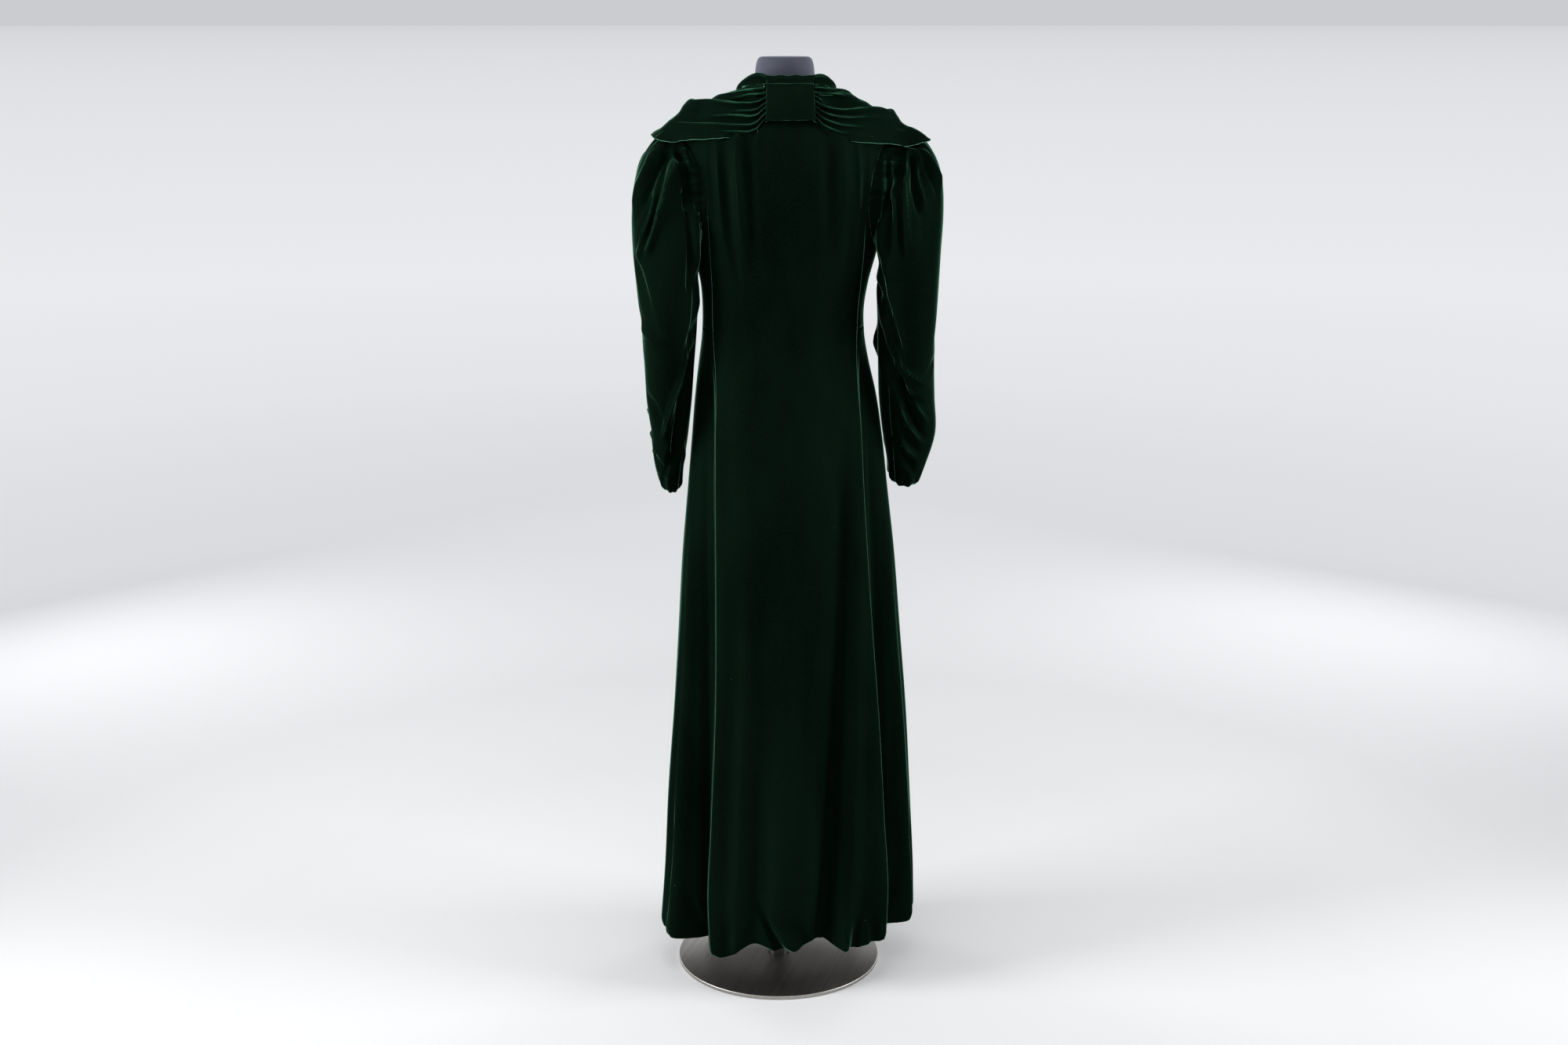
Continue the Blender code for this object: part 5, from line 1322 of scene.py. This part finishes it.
def make_stand(steel, black, steps):
    """The base plate with a rounded rim, the pole, its socket with a soft shoulder and the stop ring."""
    radius, top = BASE_BOX[1][0], BASE_BOX[1][2]
    bend = 0.0011
    plate = [(0, 0), (radius - bend, 0)] + arc(radius - bend, bend, bend, -75, 0)
    plate = plate + arc(radius - bend, top - bend, bend, 0, 90) + [(radius * 0.5, top), (0, top)]
    made = turned("stand_base_plate", plate, steps, steel)
    finish_metal(made, "stand_base")
    pole_radius, foot, head = POLE_BOX[1][0], POLE_BOX[0][2], POLE_BOX[1][2]
    bevel = 0.002
    pole = [(0, foot), (pole_radius, foot), (pole_radius, head - bevel)]
    pole = pole + [(pole_radius - bevel, head), (0, head)]
    finish_metal(turned("stand_pole_tube", pole, steps // 4, black), "stand_pole")
    turn = np.linspace(0, 2 * math.pi, steps // 3, endpoint=False)
    inner = pole_radius + SEAM_GAP
    outer, low, high = SOCKET_BOX[1][0], SOCKET_BOX[0][2], SOCKET_BOX[1][2]
    soft = 0.0025
    profile = [(inner, low), (outer, low), (outer, high - soft)] + arc(outer - soft, high - soft, soft, 0, 90)
    profile = profile + [(inner, high)]
    made = ring_of("stand_socket_sleeve", swept(profile, turn), black)
    finish_metal(made, "stand_socket")
    outer, low, high = RING_BOX[1][0], RING_BOX[0][2], RING_BOX[1][2]
    half = (high - low) / 2
    wire = arc(outer - half, low + half, half, 90, -90, 13)
    profile = [(inner, high), *wire, (inner, low)]
    made = ring_of("stand_stop_ring_collar", swept(profile[::-1], turn), black)
    finish_metal(made, "stand_stop_ring")


def swept(profile, turn):
    """Rings of a profile of (radius, height) points about the pole's axis, one ring for each turn."""
    radius, height = np.array(profile, float).T
    x = radius[None, :] * np.cos(turn)[:, None]
    y = radius[None, :] * np.sin(turn)[:, None]
    return np.stack([x, y, np.broadcast_to(height, x.shape)], -1)


def finish_metal(made, node):
    """Hangs a piece of the stand on the root's empty and hides the node that it replaces."""
    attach(made, "root")
    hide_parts(node)


def shader_tree(name):
    """A new node material with its tree, its Principled shader and its Object coordinates."""
    material = bpy.data.materials.new(name)
    material.use_nodes = True
    tree = material.node_tree
    shader = tree.nodes["Principled BSDF"]
    return material, tree, shader, tree.nodes.new("ShaderNodeTexCoord").outputs["Object"]


def set_inputs(node, values):
    """Sets a node's inputs, by their names."""
    for name, value in values.items():
        node.inputs[name].default_value = value


def toned(colour, gain):
    """A colour made darker or lighter."""
    return tuple(min(1.0, value * gain) for value in colour)


def noise(tree, vector, scale, detail=2.0, roughness=0.5, stretch=None):
    """A noise texture on Object coordinates, stretched by a Mapping where asked."""
    if stretch is not None:
        mapping = tree.nodes.new("ShaderNodeMapping")
        set_inputs(mapping, {"Scale": stretch})
        tree.links.new(vector, mapping.inputs["Vector"])
        vector = mapping.outputs["Vector"]
    node = tree.nodes.new("ShaderNodeTexNoise")
    set_inputs(node, {"Scale": scale, "Detail": detail, "Roughness": roughness})
    tree.links.new(vector, node.inputs["Vector"])
    return node.outputs["Fac"]


def between(tree, factor, low, high, first, second):
    """A colour ramp from first to second between two values of factor."""
    node = tree.nodes.new("ShaderNodeValToRGB")
    for stop, place, colour in zip(node.color_ramp.elements, (low, high), (first, second)):
        stop.position = place
        stop.color = (*colour, 1)
    tree.links.new(factor, node.inputs["Fac"])
    return node.outputs["Color"]


def bumped(tree, target, factor, strength, distance):
    """A bump from a texture onto the normal of a shader or of another bump."""
    node = tree.nodes.new("ShaderNodeBump")
    set_inputs(node, {"Strength": strength, "Distance": distance})
    tree.links.new(factor, node.inputs["Height"])
    tree.links.new(node.outputs["Normal"], target.inputs["Normal"])
    return node


def mixed(tree, factor, first, second):
    """Two colours mixed by a factor."""
    node = tree.nodes.new("ShaderNodeMix")
    node.data_type = "RGBA"
    tree.links.new(factor, node.inputs["Factor"])
    for value, socket in ((first, node.inputs["A"]), (second, node.inputs["B"])):
        if hasattr(value, "links"):
            tree.links.new(value, socket)
        else:
            socket.default_value = (*value, 1)
    return node.outputs["Result"]


def velvet_material(colours):
    """Velvet: a deep pile colour that varies slowly where the nap lies over, sheen at the sides of the
    folds, fine grain in its bump, a few specks of lint and a painted highlight in patches on sharp crests."""
    material, tree, shader, at = shader_tree("silk_velvet")
    nap = noise(tree, at, 7.0, 3.0, 0.55, stretch=(1.0, 1.0, 0.32))
    colour = between(tree, nap, 0.36, 0.66, toned(colours.velvet, 0.72), toned(colours.velvet, 1.55))
    grain = noise(tree, at, 620.0, 2.0, 0.6)
    pile = between(tree, grain, 0.52, 0.80, BLACK, WHITE)
    colour = mixed(tree, pile, colour, toned(colours.velvet, 2.2))
    lint = tree.nodes.new("ShaderNodeTexVoronoi")
    set_inputs(lint, {"Scale": 26.0})
    tree.links.new(at, lint.inputs["Vector"])
    speck = between(tree, lint.outputs["Distance"], 0.012, 0.020, WHITE, BLACK)
    colour = mixed(tree, speck, colour, LINT_COLOUR)
    # Painted highlight: on sharp crests the base colour turns towards the crest colour, in random patches,
    # standing in for the light that the pile catches there.
    highlighted = tree.nodes.new("ShaderNodeAttribute")
    highlighted.attribute_name = "crest"
    crest_highlight_patches = noise(tree, at, 38.0, 2.0)
    share = tree.nodes.new("ShaderNodeMath")
    share.operation = "MULTIPLY"
    tree.links.new(highlighted.outputs["Fac"], share.inputs[0])
    tree.links.new(between(tree, crest_highlight_patches, 0.30, 0.62, toned(WHITE, 0.25), WHITE), share.inputs[1])
    share.use_clamp = True
    colour = mixed(tree, share.outputs[0], colour, tuple(colours.crest))
    tree.links.new(colour, shader.inputs["Base Color"])
    set_inputs(shader, {
        "Roughness": 1.0, "Specular IOR Level": 0.0, "Sheen Weight": 0.95, "Sheen Roughness": 0.19,
        "Sheen Tint": (*colours.sheen, 1),
    })
    fine = bumped(tree, shader, grain, 0.35, 0.0004)
    bumped(tree, fine, noise(tree, at, 55.0, 3.0, 0.6), 0.25, 0.0012)
    return material


def lining_material(colours):
    """Satin lining: a plain warm cloth with a fine cross weave in its bump and soft gloss."""
    material, tree, shader, at = shader_tree("satin_lining")
    tone = between(tree, noise(tree, at, 9.0, 2.0), 0.3, 0.7, toned(colours.lining, 0.8), colours.lining)
    tree.links.new(tone, shader.inputs["Base Color"])
    set_inputs(shader, {"Roughness": 0.42, "Sheen Weight": 0.2})
    bumped(tree, shader, noise(tree, at, 900.0, 1.0), 0.2, 0.0002)
    return material


def form_material(colours):
    """The form's cover: smooth dark cloth with a fine knit grain and a faint sheen."""
    material, tree, shader, at = shader_tree("form_cover_cloth")
    tone = between(tree, noise(tree, at, 40.0, 3.0), 0.3, 0.7, toned(colours.form, 0.86), colours.form)
    tree.links.new(tone, shader.inputs["Base Color"])
    set_inputs(shader, {
        "Roughness": 0.8, "Specular IOR Level": 0.25, "Sheen Weight": 0.10, "Sheen Roughness": 0.5,
        "Sheen Tint": (0.55, 0.6, 0.75, 1),
    })
    bumped(tree, shader, noise(tree, at, 1100.0, 1.0, 0.5, stretch=(1.0, 1.0, 0.6)), 0.3, 0.0002)
    return material


def steel_material(colours):
    """Brushed steel: straight fine scratches along one diagonal in its roughness, tone and bump."""
    material, tree, shader, at = shader_tree("brushed_steel_plate")
    turn = tree.nodes.new("ShaderNodeMapping")
    set_inputs(turn, {"Rotation": (0, 0, BRUSH_TURN)})
    tree.links.new(at, turn.inputs["Vector"])
    line = noise(tree, turn.outputs["Vector"], 240.0, 4.0, 0.7, (0.018, 1.0, 1.0))
    broad = noise(tree, turn.outputs["Vector"], 34.0, 3.0, 0.6, (0.05, 1.0, 1.0))
    lines = between(tree, line, 0.30, 0.72, toned(colours.steel, 0.62), toned(colours.steel, 1.25))
    tree.links.new(mixed(tree, broad, lines, tuple(colours.steel)), shader.inputs["Base Color"])
    rough = tree.nodes.new("ShaderNodeMapRange")
    set_inputs(rough, {"To Min": 0.26, "To Max": 0.44})
    tree.links.new(line, rough.inputs["Value"])
    tree.links.new(rough.outputs["Result"], shader.inputs["Roughness"])
    set_inputs(shader, {"Metallic": 1.0, "Anisotropic": 0.55})
    bumped(tree, shader, line, 0.25, 0.00015)
    return material


def black_material(colours):
    """Satin black paint with a slight orange peel and a tone that varies with wear."""
    material, tree, shader, at = shader_tree("satin_black_paint")
    tone = between(tree, noise(tree, at, 30.0, 3.0), 0.4, 0.8, colours.black, toned(colours.black, 2.0))
    tree.links.new(tone, shader.inputs["Base Color"])
    set_inputs(shader, {"Roughness": 0.38})
    bumped(tree, shader, noise(tree, at, 300.0, 2.0), 0.1, 0.0003)
    return material


def floor_material(colours):
    """Pale floor that runs out into the glowing backdrop: its own tone is lowest near the middle, painted
    shade that evens out the lamps' light there, while the backdrop's glow rises, painted light from a floor
    that is no lamp, both by ramps over that distance from the middle."""
    material, tree, shader, at = shader_tree("studio_floor")
    far = tree.nodes.new("ShaderNodeVectorMath")
    far.operation = "LENGTH"
    tree.links.new(at, far.inputs[0])
    reach = tree.nodes.new("ShaderNodeMath")
    reach.operation = "LOGARITHM"
    reach.inputs[1].default_value = FLOOR_REACH
    tree.links.new(far.outputs["Value"], reach.inputs[0])
    for stops, socket in ((FLOOR_TONES, "Base Color"), (BACKDROP_GLOW, "Emission Color")):
        ramp_node = tree.nodes.new("ShaderNodeValToRGB")
        elements = ramp_node.color_ramp.elements
        elements.remove(elements[0])
        for number, (distance, tone) in enumerate(stops):
            place = max(0.0, math.log(distance, FLOOR_REACH))
            stop = elements[0] if number == 0 else elements.new(place)
            stop.position = place
            stop.color = tuple(tone * value / colours.floor[2] for value in colours.floor) + (1,)
        tree.links.new(reach.outputs[0], ramp_node.inputs["Fac"])
        tree.links.new(ramp_node.outputs["Color"], shader.inputs[socket])
    set_inputs(shader, {"Emission Strength": 1.0, "Roughness": 0.9, "Specular IOR Level": 0.0})
    return material


def soft_light(name, place, aim, size, power, spread):
    """A rectangular area light at a place, turned to face another."""
    light = bpy.data.lights.new(name, "AREA")
    light.shape = "RECTANGLE"
    light.size, light.size_y = size
    light.energy = power
    light.spread = spread
    made = bpy.data.objects.new(name, light)
    made.visible_camera = False
    made.matrix_world = looking(np.array(place, float), np.array(aim, float))
    bpy.context.scene.collection.objects.link(made)


def looking(eye, aim):
    """A world matrix at eye whose -Z looks at aim, with +Y as near to up as it goes."""
    back = unit(eye - aim)
    right = unit(np.cross((0.0, 0.0, 1.0), back) + (1e-9, 0, 0))
    up = np.cross(back, right)
    return matrix_of(right, up, back, eye)


def matrix_of(right, up, back, eye):
    """A world matrix from its three axes and its place."""
    rows = np.eye(4)
    rows[:3, 0], rows[:3, 1], rows[:3, 2], rows[:3, 3] = right, up, back, eye
    return mathutils.Matrix(rows.tolist())


def make_stage(colours):
    """The floor, the soft studio lights, the world and the camera."""
    turn = np.linspace(0, 2 * math.pi, FLOOR_STEPS, endpoint=False)
    reach = np.array(FLOOR_RINGS)
    x, y = reach[:, None] * np.cos(turn), reach[:, None] * np.sin(turn)
    ring = np.stack([x, y, np.full_like(x, FLOOR_HEIGHT)], -1).reshape(-1, 3)
    index = np.arange(len(reach) * len(turn)).reshape(len(reach), len(turn))
    after = np.roll(index, -1, 1)
    sides = np.stack([index[:-1], index[1:], after[1:], after[:-1]], -1).reshape(-1, 4)
    sides = np.concatenate([sides[:, [0, 1, 2]], sides[:, [0, 2, 3]]])
    middle = np.stack([np.full(len(turn), len(ring)), index[0], after[0]], -1)
    points = np.concatenate([ring, [[0, 0, FLOOR_HEIGHT]]])
    linked("studio_floor", points, np.concatenate([sides, middle]), [floor_material(colours)])
    for light in STUDIO_LIGHTS:
        soft_light(*light)
    world = bpy.data.worlds.new("studio_world")
    world.use_nodes = True
    backdrop = world.node_tree.nodes["Background"]
    set_inputs(backdrop, {"Color": WORLD_COLOUR, "Strength": WORLD_STRENGTH})
    bpy.context.scene.world = world
    bpy.context.scene.view_settings.view_transform = "Standard"
    make_camera()


def make_camera():
    """The photograph's camera."""
    yaw, pitch = math.radians(CAMERA_TURN), math.radians(CAMERA_PITCH)
    ahead = np.array([math.sin(yaw), math.cos(yaw), 0.0])
    right = np.array([-math.cos(yaw), math.sin(yaw), 0.0])
    rise = np.array([0.0, 0.0, 1.0])
    eye = ahead * CAMERA_DISTANCE + right * CAMERA_ASIDE + rise * CAMERA_HEIGHT
    back = ahead * math.cos(pitch) + rise * math.sin(pitch)
    up = rise * math.cos(pitch) - ahead * math.sin(pitch)
    camera = bpy.data.cameras.new("photo_camera")
    camera.sensor_width = SENSOR
    camera.lens = CAMERA_LENS
    camera.clip_end = 1000
    made = bpy.data.objects.new("photo_camera", camera)
    made.matrix_world = matrix_of(right, up, back, eye)
    bpy.context.scene.collection.objects.link(made)
    bpy.context.scene.camera = made


def cloth_materials(colours):
    """The velvet and its lining, made once and used by all the cloth pieces."""
    velvet = bpy.data.materials.get("silk_velvet") or velvet_material(colours)
    lining = bpy.data.materials.get("satin_lining") or lining_material(colours)
    return [velvet, lining]


class COAT_OT_body(bpy.types.Operator):
    """Build the back, the side gores, the side bodices and the fronts"""

    bl_idname = "coat.body"
    bl_label = "Coat body"

    def execute(self, context):
        make_body(cloth_materials(context.scene.coat_colours))
        return {"FINISHED"}


class COAT_OT_sleeves(bpy.types.Operator):
    """Build the upper and under pieces of both sleeves"""

    bl_idname = "coat.sleeves"
    bl_label = "Sleeves"

    def execute(self, context):
        make_sleeves(cloth_materials(context.scene.coat_colours))
        return {"FINISHED"}


class COAT_OT_collar(bpy.types.Operator):
    """Build the collar's wings and its centre piece"""

    bl_idname = "coat.collar"
    bl_label = "Shawl collar"

    def execute(self, context):
        make_collar(cloth_materials(context.scene.coat_colours)[:1])
        return {"FINISHED"}


class COAT_OT_form(bpy.types.Operator):
    """Build the dress form's cover"""

    bl_idname = "coat.form"
    bl_label = "Dress form"

    def execute(self, context):
        make_form(form_material(context.scene.coat_colours))
        return {"FINISHED"}


class COAT_OT_stand(bpy.types.Operator):
    """Build the base plate, the pole, its socket and the stop ring"""

    bl_idname = "coat.stand"
    bl_label = "Stand"

    def execute(self, context):
        colours = context.scene.coat_colours
        make_stand(steel_material(colours), black_material(colours), context.scene.coat_sizes.round_steps)
        return {"FINISHED"}


class COAT_OT_stage(bpy.types.Operator):
    """Build the studio floor, the lights and the camera"""

    bl_idname = "coat.stage"
    bl_label = "Studio stage"

    def execute(self, context):
        make_stage(context.scene.coat_colours)
        return {"FINISHED"}


class COAT_PT_panel(bpy.types.Panel):
    """Lists the coat's builders with their sizes and colours"""

    bl_idname = "COAT_PT_panel"
    bl_label = "Velvet coat"
    bl_space_type = "VIEW_3D"
    bl_region_type = "UI"
    bl_category = "Coat"

    def draw(self, context):
        for group in (context.scene.coat_sizes, context.scene.coat_colours):
            box = self.layout.box()
            for name in group.__annotations__:
                box.prop(group, name)
        for operator in BUILDERS:
            self.layout.operator(operator.bl_idname)


BUILDERS = (
    COAT_OT_body, COAT_OT_sleeves, COAT_OT_collar, COAT_OT_form, COAT_OT_stand, COAT_OT_stage,
)
CLASSES = (CoatSizes, CoatColours, *BUILDERS, COAT_PT_panel)


def register():
    for kind in CLASSES:
        bpy.utils.register_class(kind)
    bpy.types.Scene.coat_sizes = PointerProperty(type=CoatSizes)
    bpy.types.Scene.coat_colours = PointerProperty(type=CoatColours)


def unregister():
    del bpy.types.Scene.coat_colours
    del bpy.types.Scene.coat_sizes
    for kind in reversed(CLASSES):
        bpy.utils.unregister_class(kind)


def main():
    register()
    bpy.ops.coat.stage()
    bpy.ops.coat.body()
    bpy.ops.coat.sleeves()
    bpy.ops.coat.collar()
    bpy.ops.coat.form()
    bpy.ops.coat.stand()


if __name__ == "__main__":
    main()
